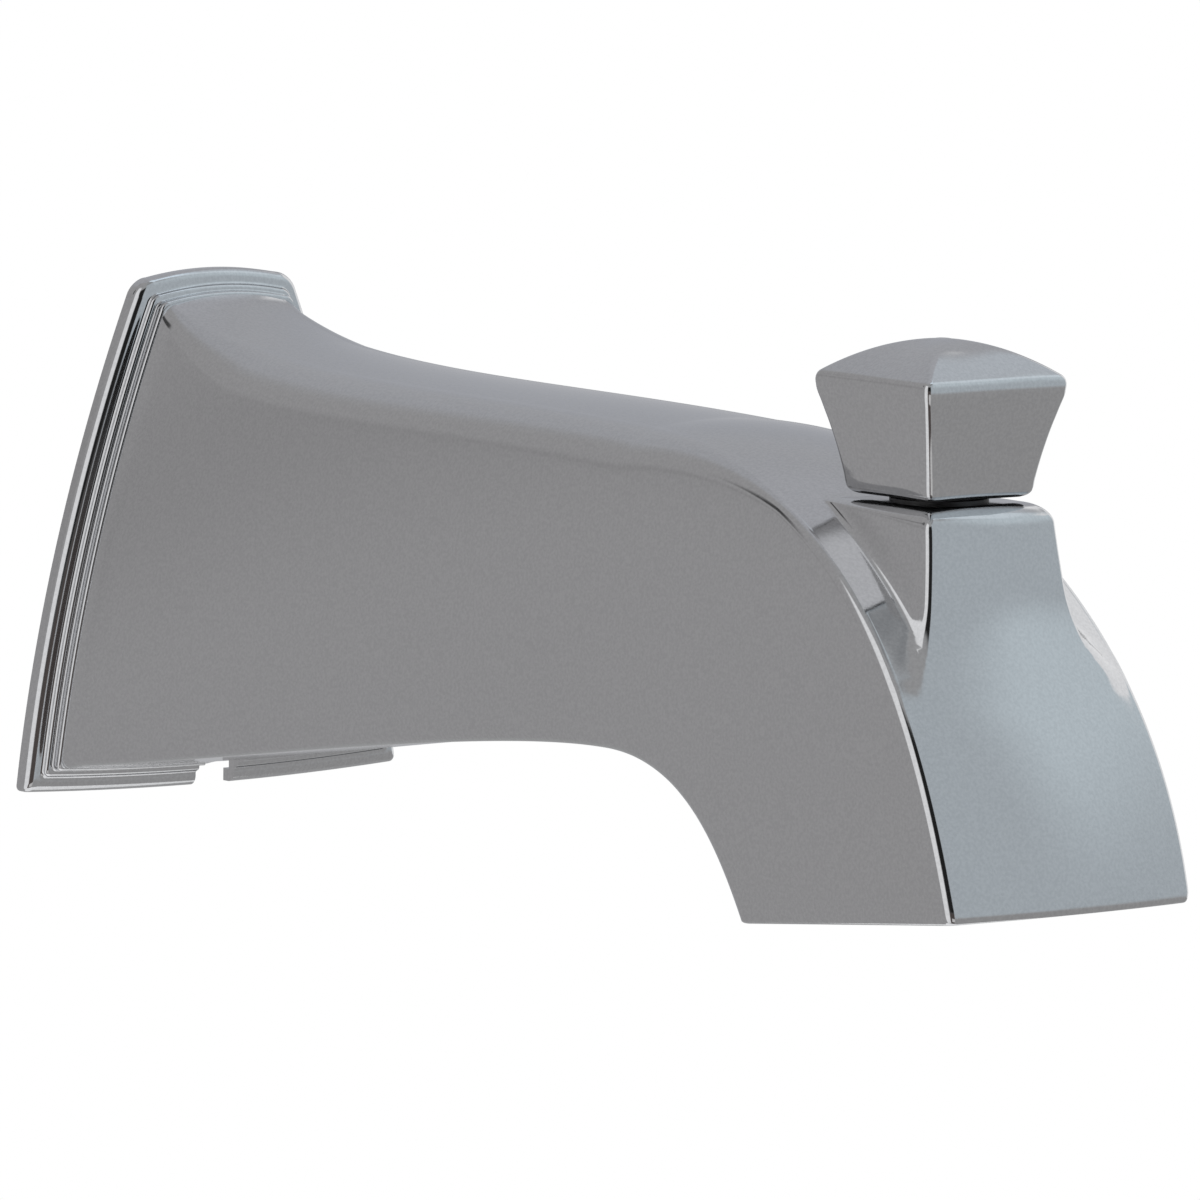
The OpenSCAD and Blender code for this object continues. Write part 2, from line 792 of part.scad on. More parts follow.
// Moulded housing that carries the valve seat and the rails of the gate
module valve_housing() {
    box_x = housing_x + housing_sleeve;
    chamber_x = box_x + housing_wall;
    chamber_half = housing_half - housing_wall;
    color("darkslategray")
        difference() {
            union() {
                x_rod(housing_x, housing_sleeve, tube_r + housing_sleeve_wall);
                translate([box_x, -housing_half, -housing_floor])
                    cube([housing_face_x - box_x, 2 * housing_half, housing_floor + housing_top]);
                gate_rail();
                mirror([0, 1, 0])
                    gate_rail();
                translate([housing_face_x - housing_wall, -housing_half, rail_bottom_z])
                    cube([housing_wall, 2 * housing_half, -housing_floor - rail_bottom_z + over]);
                translate([housing_face_x, -gate_half - slide_gap, rail_top_z])
                    cube([rail_front_x - lip_t - housing_face_x, 2 * (gate_half + slide_gap), stop_h]);
                for (side = [-1, 1])
                    translate([
                        housing_face_x,
                        side < 0 ? -housing_half : gate_half + slide_gap - lip_w,
                        rail_top_z,
                    ])
                        cube([rail_front_x - housing_face_x, rail_w + lip_w, stop_h]);
            }
            x_rod(housing_x - over, housing_sleeve + over, tube_r);
            x_rod(housing_x - over, housing_sleeve + housing_wall + 2 * over, tube_bore_r);
            x_rod(
                housing_x + housing_sleeve / 2 - rod_ring_cord / 2 - ring_gap,
                rod_ring_cord + 2 * ring_gap, tube_r + rod_ring_cord
            );
            translate([chamber_x, -chamber_half, -housing_floor + housing_wall])
                cube([
                    housing_face_x - housing_wall - chamber_x, 2 * chamber_half,
                    housing_floor + housing_top - 2 * housing_wall,
                ]);
            translate([0, 0, -mouth_drop]) {
                x_rod(housing_face_x - housing_wall - over, housing_wall + 2 * over, mouth_r);
                x_rod(seat_x - seat_t, seat_t + over, mouth_r + seat_w);
            }
        }
}

// Seat ring round the mouth of the water way
module seat_ring() {
    color("lightgray")
        translate([0, 0, -mouth_drop])
            difference() {
                x_rod(seat_x - seat_t, seat_t, mouth_r + seat_w);
                x_rod(seat_x - seat_t - over, seat_t + 2 * over, mouth_r);
            }
}

// Flanged bushing in the top of the pedestal
module rod_bushing() {
    color("dimgray")
        difference() {
            union() {
                translate([rod_x, 0, pedestal_top - bushing_len])
                    cylinder(h = bushing_len + bushing_flange_t, r = bushing_r);
                translate([rod_x, 0, pedestal_top])
                    cylinder(h = bushing_flange_t, r = bushing_flange_r);
            }
            translate([rod_x, 0, pedestal_top - bushing_len - over])
                cylinder(h = bushing_len + bushing_flange_t + 2 * over, r = rod_r + rod_clear);
        }
}

module rod_ring() {
    color("black")
        translate([rod_x, 0, pedestal_top - bushing_len - rod_ring_cord / 2])
            rotate_extrude()
                translate([bushing_r - rod_ring_cord / 2, 0])
                    circle(d = rod_ring_cord, $fn = 24);
}

// Rod with the shoulder that bears on the gate and a groove for the clip
module lift_rod() {
    foot_z = gate_z - gate_boss_h / 2 - clip_t - rod_tail;
    color("silver")
        difference() {
            union() {
                translate([rod_x, 0, foot_z])
                    cylinder(h = knob_z + rod_thread_len - foot_z, r = rod_r);
                translate([rod_x, 0, gate_z + gate_boss_h / 2])
                    cylinder(h = shoulder_t, r = shoulder_r);
            }
            translate([rod_x, 0, gate_z - gate_boss_h / 2 - clip_t])
                difference() {
                    cylinder(h = clip_t, r = rod_r + over);
                    cylinder(h = clip_t, r = rod_r - clip_groove);
                }
        }
}

// Clip under the gate
module rod_clip() {
    color("gray")
        translate([rod_x, 0, gate_z - gate_boss_h / 2 - clip_t])
            difference() {
                cylinder(h = clip_t, r = rod_r + clip_w);
                translate([0, 0, -over])
                    cylinder(h = clip_t + 2 * over, r = rod_r - clip_groove);
                translate([0, -rod_r / 2, -over])
                    cube([rod_r + clip_w + over, rod_r, clip_t + 2 * over]);
            }
}

// Plate that slides in the rails, with the boss that the rod passes through
module gate_carriage() {
    boss_front = rod_x + rod_r + gate_boss_wall;
    color("whitesmoke")
        difference() {
            union() {
                translate([gate_x - gate_t, -gate_half, gate_z - gate_half])
                    cube([gate_t, 2 * gate_half, 2 * gate_half]);
                translate([gate_x - gate_t, -gate_boss_half, gate_z - gate_boss_h / 2])
                    cube([boss_front - gate_x + gate_t, 2 * gate_boss_half, gate_boss_h]);
            }
            translate([rod_x, 0, gate_z - gate_boss_h / 2 - over])
                cylinder(h = gate_boss_h + 2 * over, r = rod_r);
            translate([gate_x - gate_t - over, 0, gate_z])
                rotate([0, 90, 0])
                    cylinder(h = gate_t * seal_peg_share + over, r = seal_peg_r);
        }
}

// Rubber face of the gate, pegged into the plate
module gate_seal() {
    color("black")
        translate([0, 0, gate_z]) {
            x_rod(gate_x - gate_t - seal_t, seal_t, seal_r);
            x_rod(gate_x - gate_t - seal_t, seal_t + gate_t * seal_peg_share, seal_peg_r);
        }
}

// Brass insert in the knob, screwed on the end of the rod
module knob_insert() {
    color("goldenrod")
        difference() {
            translate([rod_x, 0, knob_z])
                cylinder(h = insert_len, d = insert_d);
            translate([rod_x, 0, knob_z - over])
                cylinder(h = rod_thread_len + over, r = rod_r);
        }
}

// Rounded square of half width a at height z, with faces dished by knob_dish
function knob_ring(a, z) =
    let (r = min(knob_edge_r, a / 2), dish = min(knob_dish, a / 8))
    [
        for (q = [0 : 3], p = [[0, 0], [30, 0], [60, 0], [90, 0], [0, 1]])
            let (
                x = p[1] == 1 ? 0 : a - r + r * cos(p[0]),
                y = p[1] == 1 ? a - dish : a - r + r * sin(p[0]),
                turn = 90 * q
            )
            [rod_x + x * cos(turn) - y * sin(turn), x * sin(turn) + y * cos(turn), z]
    ];

// Square knob that flares up to a rim under a low dome
module knob_shell() {
    rim_z = knob_z + knob_rim_h;
    rings = [
        for (i = [0 : len(knob_level_shares) - 1])
            knob_ring(
                lerp(knob_foot_half, knob_rim_half, knob_flare_shares[i]),
                lerp(knob_z, rim_z - knob_rim_drop, knob_level_shares[i])
            ),
        for (i = [1 : knob_dome_steps])
            let (u = i / knob_dome_steps)
            knob_ring(
                knob_rim_half * sqrt(1 - u * knob_dome_shrink_share)
                    - knob_rim_drop * knob_rim_ease_share * (1 - u),
                rim_z + knob_dome_h * u
            ),
    ];
    count = len(rings[0]);
    polyhedron(
        points = [for (ring = rings) each ring],
        faces = [
            [for (i = [0 : count - 1]) i],
            for (f = ring_faces(len(rings), count, false)) [f[0], f[2], f[1]],
            [for (i = [count - 1 : -1 : 0]) (len(rings) - 1) * count + i],
        ],
        convexity = 4
    );
}

module diverter_knob() {
    color("silver")
        difference() {
            knob_shell();
            translate([rod_x, 0, knob_z - over])
                cylinder(h = insert_len + over, d = insert_d);
        }
}

spout_body();
wall_gasket();
inlet_socket();
socket_ring_rear();
socket_ring_front();
socket_clip();
clamp_collar();
clamp_screw();
carrier_plate();
carrier_screw_left();
carrier_screw_right();
waterway_tube();
tube_ring_rear();
tube_ring_front();
valve_housing();
seat_ring();
rod_bushing();
rod_ring();
lift_rod();
rod_clip();
gate_carriage();
gate_seal();
knob_insert();
diverter_knob();
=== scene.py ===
"""Chrome bath spout with a pull-up diverter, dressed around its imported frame."""
import json
import math

import bpy
import numpy as np
from mathutils import Matrix, Vector
from mathutils.bvhtree import BVHTree


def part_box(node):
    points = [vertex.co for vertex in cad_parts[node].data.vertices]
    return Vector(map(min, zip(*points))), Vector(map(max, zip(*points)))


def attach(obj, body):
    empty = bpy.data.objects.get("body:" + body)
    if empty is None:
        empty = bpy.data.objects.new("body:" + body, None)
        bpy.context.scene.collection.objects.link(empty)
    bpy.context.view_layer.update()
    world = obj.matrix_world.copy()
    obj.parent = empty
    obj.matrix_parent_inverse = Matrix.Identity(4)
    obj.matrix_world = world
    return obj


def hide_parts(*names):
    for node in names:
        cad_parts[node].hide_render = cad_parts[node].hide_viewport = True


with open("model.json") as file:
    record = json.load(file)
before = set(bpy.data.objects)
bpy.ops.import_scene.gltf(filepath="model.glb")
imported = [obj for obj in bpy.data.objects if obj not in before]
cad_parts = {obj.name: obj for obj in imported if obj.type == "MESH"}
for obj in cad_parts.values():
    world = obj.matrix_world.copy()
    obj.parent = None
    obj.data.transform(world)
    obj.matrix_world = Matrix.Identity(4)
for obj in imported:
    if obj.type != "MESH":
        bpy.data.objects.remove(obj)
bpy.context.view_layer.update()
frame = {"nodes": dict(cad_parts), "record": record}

MM = 0.001


def place(name, data):
    """New object in the scene, at the origin."""
    obj = bpy.data.objects.new(name, data)
    bpy.context.scene.collection.objects.link(obj)
    return obj


# Materials


def new_material(name):
    mat = bpy.data.materials.new(name)
    mat.use_nodes = True
    mat.node_tree.nodes.clear()
    return mat, mat.node_tree.nodes, mat.node_tree.links


def noise(nodes, links, scale, detail=2.0, rough=0.5, stretch=None):
    """Noise over the object's own coordinates, its scale per metre."""
    coord = nodes.new("ShaderNodeTexCoord")
    tex = nodes.new("ShaderNodeTexNoise")
    tex.inputs["Scale"].default_value = scale
    tex.inputs["Detail"].default_value = detail
    tex.inputs["Roughness"].default_value = rough
    if stretch:
        mapping = nodes.new("ShaderNodeMapping")
        mapping.inputs["Scale"].default_value = stretch
        links.new(coord.outputs["Object"], mapping.inputs["Vector"])
        links.new(mapping.outputs["Vector"], tex.inputs["Vector"])
    else:
        links.new(coord.outputs["Object"], tex.inputs["Vector"])
    return tex


def ramp(nodes, links, source, low, high):
    """Colour or grey from low to high over the middle of the source's range."""
    node = nodes.new("ShaderNodeValToRGB")
    first, last = node.color_ramp.elements
    first.position, last.position = 0.35, 0.65
    first.color = (*low, 1) if hasattr(low, "__len__") else (low, low, low, 1)
    last.color = (*high, 1) if hasattr(high, "__len__") else (high, high, high, 1)
    links.new(source, node.inputs["Fac"])
    return node.outputs["Color"]


def surface(name, low, high, rough, metallic=0.0, grain=900.0, bump=0.0, bump_scale=2000.0,
            stretch=None, specular=0.5):
    """Principled material whose colour and roughness vary with noise."""
    mat, nodes, links = new_material(name)
    out = nodes.new("ShaderNodeOutputMaterial")
    shader = nodes.new("ShaderNodeBsdfPrincipled")
    links.new(shader.outputs["BSDF"], out.inputs["Surface"])
    shader.inputs["Metallic"].default_value = metallic
    shader.inputs["Specular IOR Level"].default_value = specular
    tone = noise(nodes, links, grain, stretch=stretch)
    links.new(ramp(nodes, links, tone.outputs["Fac"], low, high), shader.inputs["Base Color"])
    wear = noise(nodes, links, grain * 0.23, detail=4.0, stretch=stretch)
    links.new(ramp(nodes, links, wear.outputs["Fac"], *rough), shader.inputs["Roughness"])
    if bump:
        relief = noise(nodes, links, bump_scale, detail=3.0, stretch=stretch)
        node = nodes.new("ShaderNodeBump")
        node.inputs["Strength"].default_value = bump
        node.inputs["Distance"].default_value = 0.0001
        links.new(relief.outputs["Fac"], node.inputs["Height"])
        links.new(node.outputs["Normal"], shader.inputs["Normal"])
    return mat


MATERIALS = {
    "chrome": surface("chrome", (0.58, 0.585, 0.6), (0.64, 0.645, 0.66), (0.07, 0.11), metallic=1.0,
                      grain=2600.0, bump=0.012, bump_scale=2600.0),
    "brass": surface("brass", (0.62, 0.44, 0.19), (0.75, 0.56, 0.27), (0.22, 0.36), metallic=1.0,
                     grain=500.0, bump=0.05, stretch=(30.0, 1.0, 1.0)),
    "steel": surface("steel", (0.5, 0.51, 0.52), (0.62, 0.63, 0.64), (0.22, 0.34), metallic=1.0,
                     grain=900.0, bump=0.04),
    "rubber": surface("rubber", (0.012, 0.012, 0.013), (0.03, 0.03, 0.032), (0.55, 0.75),
                      grain=1500.0, bump=0.15, specular=0.35),
    "foam": surface("foam", (0.05, 0.05, 0.055), (0.1, 0.1, 0.105), (0.8, 0.95),
                    grain=2500.0, bump=0.6, bump_scale=3500.0, specular=0.2),
    "white_plastic": surface("white_plastic", (0.72, 0.72, 0.69), (0.8, 0.8, 0.77), (0.38, 0.5),
                             grain=700.0, bump=0.05),
    "black_plastic": surface("black_plastic", (0.02, 0.02, 0.022), (0.04, 0.04, 0.043), (0.4, 0.55),
                             grain=900.0, bump=0.08),
    # Dark casting material, also used as painted shade on the knob's underside
    "casting": surface("casting", (0.02, 0.02, 0.021), (0.045, 0.045, 0.047), (0.5, 0.7), grain=1200.0,
                       bump=0.2, bump_scale=3000.0, specular=0.3),
}

for part in frame["record"]["subparts"]:
    obj = frame["nodes"][part["node"]]
    obj.data.materials.clear()
    obj.data.materials.append(MATERIALS[part["material_slot"]])

# Fine geometry

# The body and the knob repeat the lofts of the part's source, in millimetres,
# with many more steps and with the small roundings of a polished casting.

PROJECTION = 172.0
BODY_WALL = 3.0
BROW_RISE = 23.3
ARCH_DROP = 14.2
NOSE_FRONT_DROP = 27.5
NOSE_REAR_DROP = 32.0
OUTLET_LEN = 39.4
NOSE_HALF = 18.1
NOSE_TOP_HALF = 14.8
NOSE_SIDE_BOW = 1.2
FRONT_BOW = 2.0
FLANGE_BOTTOM_HALF = 28.9
FLANGE_TOP_HALF = 11.6
FLANGE_TOP = 33.4
FLANGE_BOTTOM = 30.4
FLANGE_SIDE_BOW = 2.4
RIM_T = 2.4
STEP_T = 1.1
STEP_IN = 1.1
NOTCH_W = 6.0
NOTCH_LEN = 9.2
NOTCH_ROOF = -20.0
PEDESTAL_HALF = 9.5
PEDESTAL_TOP = 18.0
KNOB_SETBACK = 25.5
PEDESTAL_FRONT = 9.6
PEDESTAL_LEAN = 2.4
KNOB_RIM_HALF = 10.6
KNOB_FOOT_HALF = 7.9
KNOB_RIM_H = 13.9
KNOB_DOME_H = 4.3
KNOB_EDGE_R = 0.85
ROD_D = 4.0
ROD_HOLE_GAP = 0.4
BUSHING_WALL = 1.6
BUSHING_SINK = 5.2
ROD_RING_D = 1.4
ROD_RING_GAP = 0.2
MOUTH_DROP = 3.0
TUBE_R = 8.5
INSERT_R = 3.5
INSERT_LEN = 9.0

MOULDING = 3 * STEP_IN
BODY_X = RIM_T + 2 * STEP_T
OUT_SHARES = [0, 0.36, 1]
IN_SHARES = [0, 0.6, 0.84, 1]
# Radius of the edge and of the cove of each step
STEP_ROUNDS = [(1.3, 0.45), (0.5, 0.25), (0.4, 0.0)]
FLANGE_H = FLANGE_TOP + FLANGE_BOTTOM
SIDE_SLANT = math.hypot(FLANGE_H, FLANGE_BOTTOM_HALF - FLANGE_TOP_HALF) / FLANGE_H
FLANGE_TOP_BOW = 0.9
FLANGE_BOTTOM_BOW = 0.8
FLANGE_CORNER_R = 2.0
LEAST_CORNER_R = 0.8
WALL_SHOULDER_R = 1.6
SHOULDER_R = 5.0
NOSE_EDGE_R = 1.2
FOOT_R = 1.2
OUTLET_EDGE_R = 0.6
BROW_CROWN = 0.6
SOFTEN_SHARE = 0.25
SHARPEN_SHARE = 0.35
COVE = 0.35
COVE_PLATE = 0.5
COVE_FLANK = 3.2
GASKET_LIP = 1.6
GASKET_W = 3.0
GASKET_DEPTH = 1.2
BROW_X = PROJECTION * 0.605
ARCH_X = PROJECTION * 0.617
NOSE_REAR_X = PROJECTION - OUTLET_LEN
WALL_TOP = FLANGE_TOP - MOULDING
WALL_BOTTOM = FLANGE_BOTTOM - MOULDING
FLANK_END = PROJECTION * 0.727
FLANK_POWER = 1.6
ROD_X = PROJECTION - KNOB_SETBACK
PEDESTAL_REAR = 13.4
PEDESTAL_ROUND = 2.8
PEDESTAL_CORNER_R = 0.9
PEDESTAL_FRONT_BOW = 1.0
PEDESTAL_TAPER = 2.0
PEDESTAL_FLARE = 1.8
PEDESTAL_TOE = 1.6
PEDESTAL_SINK = 1.5
PEDESTAL_ROUND_SHARE = 0.15
KNOB_Z = PEDESTAL_TOP + 0.6
KNOB_RIM_DROP = 0.45
KNOB_RIM_IN = 0.55
KNOB_LIP_OUT = 0.14
KNOB_LIP_DROP = 0.05
KNOB_TIP = 0.15
KNOB_DISH = 0.25
BLEND_SIDE = 0.5
BLEND_FRONT = 5.0
BLEND_X = ROD_X + 8.5
BLEND_SPAN = 4.0
BLEND_LOW = -20.0
BLEND_REACH = 8.0
OVER = 1.0
TOUCH = 0.02
CORNER_PULL = 0.03
SHARP_ANGLE = math.radians(38)
DOWNWARD = -0.3


def lerp(a, b, t):
    return a + (b - a) * t


def unit(t):
    return np.clip(t, 0.0, 1.0)


def ease(t):
    t = unit(t)
    return t * t * (3 - 2 * t)


def control(shares, low, high):
    """Control points given as shares of the way from low to high."""
    return np.array([[lerp(low[0], high[0], s[0]), lerp(low[1], high[1], s[1])] for s in shares])


def cubic(p, t):
    """Points of a cubic curve with four control points."""
    t = np.asarray(t, float)[..., None]
    return ((1 - t) ** 3 * p[0] + 3 * (1 - t) ** 2 * t * p[1]
            + 3 * (1 - t) * t ** 2 * p[2] + t ** 3 * p[3])


TOP_A = control([[0, 1], [0.196, -0.16], [0.55, 0.25], [1, 0]],
                (BODY_X, BROW_RISE), (BROW_X, WALL_TOP))
TOP_B = control([[0, 0], [0.482, 0], [0.875, 0.321], [1, 1]],
                (BROW_X, BROW_RISE), (PROJECTION, -NOSE_FRONT_DROP))
UNDER_A = control([[0, 1], [0.257, 0.76], [0.762, 0], [1, 0]],
                  (BODY_X, -ARCH_DROP), (ARCH_X, -WALL_BOTTOM))
UNDER_B = control([[0, 0], [0.6, 0], [0.851, 0.578], [1, 1]],
                  (ARCH_X, -ARCH_DROP), (NOSE_REAR_X, -NOSE_REAR_DROP))

FINE_T = np.linspace(0, 1, 4001)
BROW_CURVE = cubic(TOP_B, FINE_T)
UNDER_CURVE = cubic(UNDER_A, FINE_T)


def brow_z(x):
    return np.interp(x, BROW_CURVE[:, 0], BROW_CURVE[:, 1])


def under_z(x):
    return np.interp(x, UNDER_CURVE[:, 0], UNDER_CURVE[:, 1])


def flange_half(z, d):
    """Half width of the flange outline at a height, set in by d."""
    u = (FLANGE_TOP - z) / FLANGE_H
    return (lerp(FLANGE_TOP_HALF, FLANGE_BOTTOM_HALF, u) + 4 * FLANGE_SIDE_BOW * u * (1 - u)
            - d * SIDE_SLANT)


def nose_half_at(z):
    u = (z + NOSE_FRONT_DROP) / (PEDESTAL_TOP + NOSE_FRONT_DROP)
    return lerp(NOSE_HALF, NOSE_TOP_HALF, u) + 4 * NOSE_SIDE_BOW * u * (1 - u)


def flank_half(x, z):
    """Half width of the body, from the flange outline to that of the nose."""
    t = unit((x - BODY_X) / (FLANK_END - BODY_X))
    return lerp(flange_half(z, MOULDING), nose_half_at(z), 1 - (1 - t) ** FLANK_POWER)


CARRIER_END = 18.4
EAR_Z = -12.0
EAR_R = 3.4
EAR_GAP = 0.28
EAR_Y = float(flank_half(CARRIER_END, EAR_Z)) - BODY_WALL - EAR_R - EAR_GAP
BOSS_LEN = 20.0
WEB_HALF = 1.2
SCREW_R = 1.5
SCREW_LEN = 12.5
RIB_T = 3.0
SIDE_RIB_X = 126.6
SIDE_RIB_LOW = -8.0
SIDE_RIB_HIGH = 6.0
FLOOR_RIB_X = ARCH_X - 10
FLOOR_RIB_HALF = 5.0
HOUSING_HALF = 9.5

# Steps round half of a section
N_FLOOR, N_HEEL, N_FLANK, N_SHOULDER, N_ROOF = 8, 6, 34, 14, 22


def arc(steps):
    """Angles of a quarter turn."""
    return np.radians(90) * np.arange(steps + 1) / steps


def section(top, foot, half, top_r, foot_r, crown, sag):
    """Closed cross-section through the lines top and foot, as points x, y, z."""
    length = math.hypot(top[0] - foot[0], top[1] - foot[1])
    dx, dz = (top[0] - foot[0]) / length, (top[1] - foot[1]) / length

    def wide(h):
        return half(foot[0] + dx * h, foot[1] + dz * h)

    parts = []
    i = np.arange(N_FLOOR) / N_FLOOR
    parts.append((-sag * (1 - i ** 2), (wide(0.0) - foot_r) * i))
    a = arc(N_HEEL)
    h = foot_r * (1 - np.cos(a))
    parts.append((h, wide(h) - foot_r * (1 - np.sin(a))))
    h = lerp(foot_r, length - top_r, np.arange(1, N_FLANK) / N_FLANK)
    parts.append((h, wide(h)))
    a = arc(N_SHOULDER)
    h = length - top_r * (1 - np.sin(a))
    parts.append((h, wide(h) - top_r * (1 - np.cos(a))))
    u = 1 - np.arange(1, N_ROOF + 1) / N_ROOF
    parts.append((length + crown * (1 - u * u), (wide(length) - top_r) * u))
    h = np.concatenate([p[0] for p in parts])
    y = np.concatenate([p[1] for p in parts])
    h = np.concatenate([h, h[-2:0:-1]])
    y = np.concatenate([y, -y[-2:0:-1]])
    return np.stack([foot[0] + dx * h, y, foot[1] + dz * h], 1)


def flange_section(x, d):
    return section((x, FLANGE_TOP - d), (x, -FLANGE_BOTTOM + d), lambda sx, sz: flange_half(sz, d),
                   max(LEAST_CORNER_R, FLANGE_CORNER_R - d / 2), LEAST_CORNER_R,
                   FLANGE_TOP_BOW, FLANGE_BOTTOM_BOW)


def body_section(top, foot, d, soft, crown, sag):
    span = top - foot
    span = span / np.hypot(*span)
    return section(top - span * d, foot + span * d, lambda sx, sz: flank_half(sx, sz) - d,
                   max(LEAST_CORNER_R, soft - d / 2), FOOT_R, crown, sag)


def rear_section(t, d):
    k = float(unit(t / SOFTEN_SHARE))
    return body_section(cubic(TOP_A, t), cubic(UNDER_A, t), d, lerp(WALL_SHOULDER_R, SHOULDER_R, k),
                        lerp(FLANGE_TOP_BOW, BROW_CROWN, k), lerp(FLANGE_BOTTOM_BOW, 0, t))


def front_section(t, d):
    k = float(unit(t / SHARPEN_SHARE))
    return body_section(cubic(TOP_B, t), cubic(UNDER_B, t), d, lerp(SHOULDER_R, NOSE_EDGE_R, k),
                        lerp(BROW_CROWN, FRONT_BOW, k), 0)


def moulding_profile():
    """Stations x, d of the stepped flange, with rounded edges and small coves."""
    path = [(0.0, 0.0)]
    for i, (edge_r, cove_r) in enumerate(STEP_ROUNDS):
        x, d = lerp(RIM_T, BODY_X, OUT_SHARES[i]), MOULDING * IN_SHARES[i]
        end = MOULDING * IN_SHARES[i + 1]
        for a in arc(9):
            path.append((x - edge_r * (1 - math.sin(a)), d + edge_r * (1 - math.cos(a))))
        if cove_r:
            for a in arc(5):
                path.append((x + cove_r * (1 - math.cos(a)), end - cove_r * (1 - math.sin(a))))
        else:
            for share in (0.2, 0.4, 0.6, 0.8, 0.93):
                path.append((x, lerp(d + edge_r, end, share)))
    return path


def loft_faces(rows, cols, closed):
    """Triangles between the rings of a loft, and between the last and the first if closed."""
    faces = []
    for r in range(rows if closed else rows - 1):
        for i in range(cols):
            a, b = r * cols + i, r * cols + (i + 1) % cols
            c, d = ((r + 1) % rows) * cols + i, ((r + 1) % rows) * cols + (i + 1) % cols
            faces += [(a, b, c), (b, d, c)]
    return faces


def work_object(name, points, faces):
    """Closed scratch mesh in millimetres, faces turned outward."""
    points = np.asarray(points, float)
    tri = np.array(faces)
    a, b, c = (points[tri[:, k]] for k in range(3))
    volume = np.einsum("ij,ij->i", a, np.cross(b, c)).sum()
    if volume < 0:
        tri = tri[:, ::-1]
    mesh = bpy.data.meshes.new(name)
    mesh.from_pydata(points.tolist(), [], tri.tolist())
    return place(name, mesh)


def skin_loft():
    """Outer and inner surface of the casting, with a cove where the flank leaves the moulding."""
    profile = moulding_profile()
    rings = [flange_section(x, d) for x, d in profile]
    starts = [0, 0.002, 0.004, 0.007, 0.011, 0.016, 0.022, 0.029, 0.037]
    rear = starts + list(np.linspace(0.046, 1, 66))[:-1]
    plain = [rear_section(t, 0.0) for t in rear]
    first = plain[0]
    swept = plain[3] - plain[0]
    around = np.roll(first, -1, 0) - np.roll(first, 1, 0)
    side = np.cross(swept, around)
    side /= np.linalg.norm(side, axis=1, keepdims=True)
    middle = first.mean(0)
    side *= np.sign(((first - middle) * side).sum(1))[:, None]
    ahead = np.array([1.0, 0.0, 0.0])
    for k, (x, d) in enumerate(profile):
        gap = MOULDING - d
        if x > BODY_X - 1e-9 and gap < COVE_PLATE:
            share = 1 - gap / COVE_PLATE
            way = ahead * (1 - share / 2) + side * share / 2
            way /= np.linalg.norm(way, axis=1, keepdims=True)
            rings[k] = rings[k] + way * COVE * share ** 2
    for ring in plain:
        share = unit(1 - (ring[:, :1] - BODY_X) / COVE_FLANK)
        way = side * (1 - share / 2) + ahead * share / 2
        way /= np.linalg.norm(way, axis=1, keepdims=True)
        rings.append(ring + way * COVE * share ** 2)
    edge = OUTLET_EDGE_R / OUTLET_LEN
    rings += [front_section(t, 0.0) for t in np.linspace(0, 1 - edge, 112)[:-1]]
    for a in arc(6):
        rings.append(front_section(1 - edge * (1 - math.sin(a)), OUTLET_EDGE_R * (1 - math.cos(a))))
    rings += [front_section(t, BODY_WALL) for t in np.linspace(1, 0, 31)]
    rings += [rear_section(t, BODY_WALL) for t in np.linspace(1, 0, 21)[1:]]
    rings += [flange_section(GASKET_DEPTH, GASKET_LIP + GASKET_W), flange_section(GASKET_DEPTH, GASKET_LIP),
              flange_section(0, GASKET_LIP)]
    return work_object("skin", np.concatenate(rings), loft_faces(len(rings), len(rings[0]), True))


def pedestal_ring(v):
    """Outline of the pedestal, from its top at v 0 to its foot inside the nose at v 1."""
    s = float(unit(1 - v / PEDESTAL_ROUND_SHARE))
    e = PEDESTAL_ROUND * (1 - math.sqrt(max(0.0, 1 - s * s)))
    rear = ROD_X - PEDESTAL_REAR
    front = ROD_X + PEDESTAL_FRONT + PEDESTAL_LEAN * v + PEDESTAL_TOE * v ** 9 - PEDESTAL_CORNER_R
    full = PEDESTAL_TOP - brow_z(front)

    def z(x):
        return lerp(PEDESTAL_TOP, np.minimum(brow_z(x) - PEDESTAL_SINK, PEDESTAL_TOP - PEDESTAL_ROUND), v)

    def y(x):
        return (PEDESTAL_HALF - e + PEDESTAL_TAPER * v ** 1.5
                + PEDESTAL_FLARE * v ** 9 * unit((PEDESTAL_TOP - brow_z(x)) / full))

    spine = np.linspace(rear, front - e, 56)
    face_y = y(front) - PEDESTAL_CORNER_R
    half = [np.stack([spine, y(spine), z(spine)], 1)]
    a = arc(8)[1:]
    half.append(np.stack([front - e + PEDESTAL_CORNER_R * np.sin(a), face_y + PEDESTAL_CORNER_R * np.cos(a),
                          np.full(8, z(front))], 1))
    u = 1 - np.arange(1, 15) / 14.5
    half.append(np.stack([front - e + PEDESTAL_CORNER_R + PEDESTAL_FRONT_BOW * (1 - u * u), face_y * u,
                          np.full(14, z(front))], 1))
    half = np.concatenate(half)
    return np.concatenate([half, half[::-1] * (1, -1, 1)])


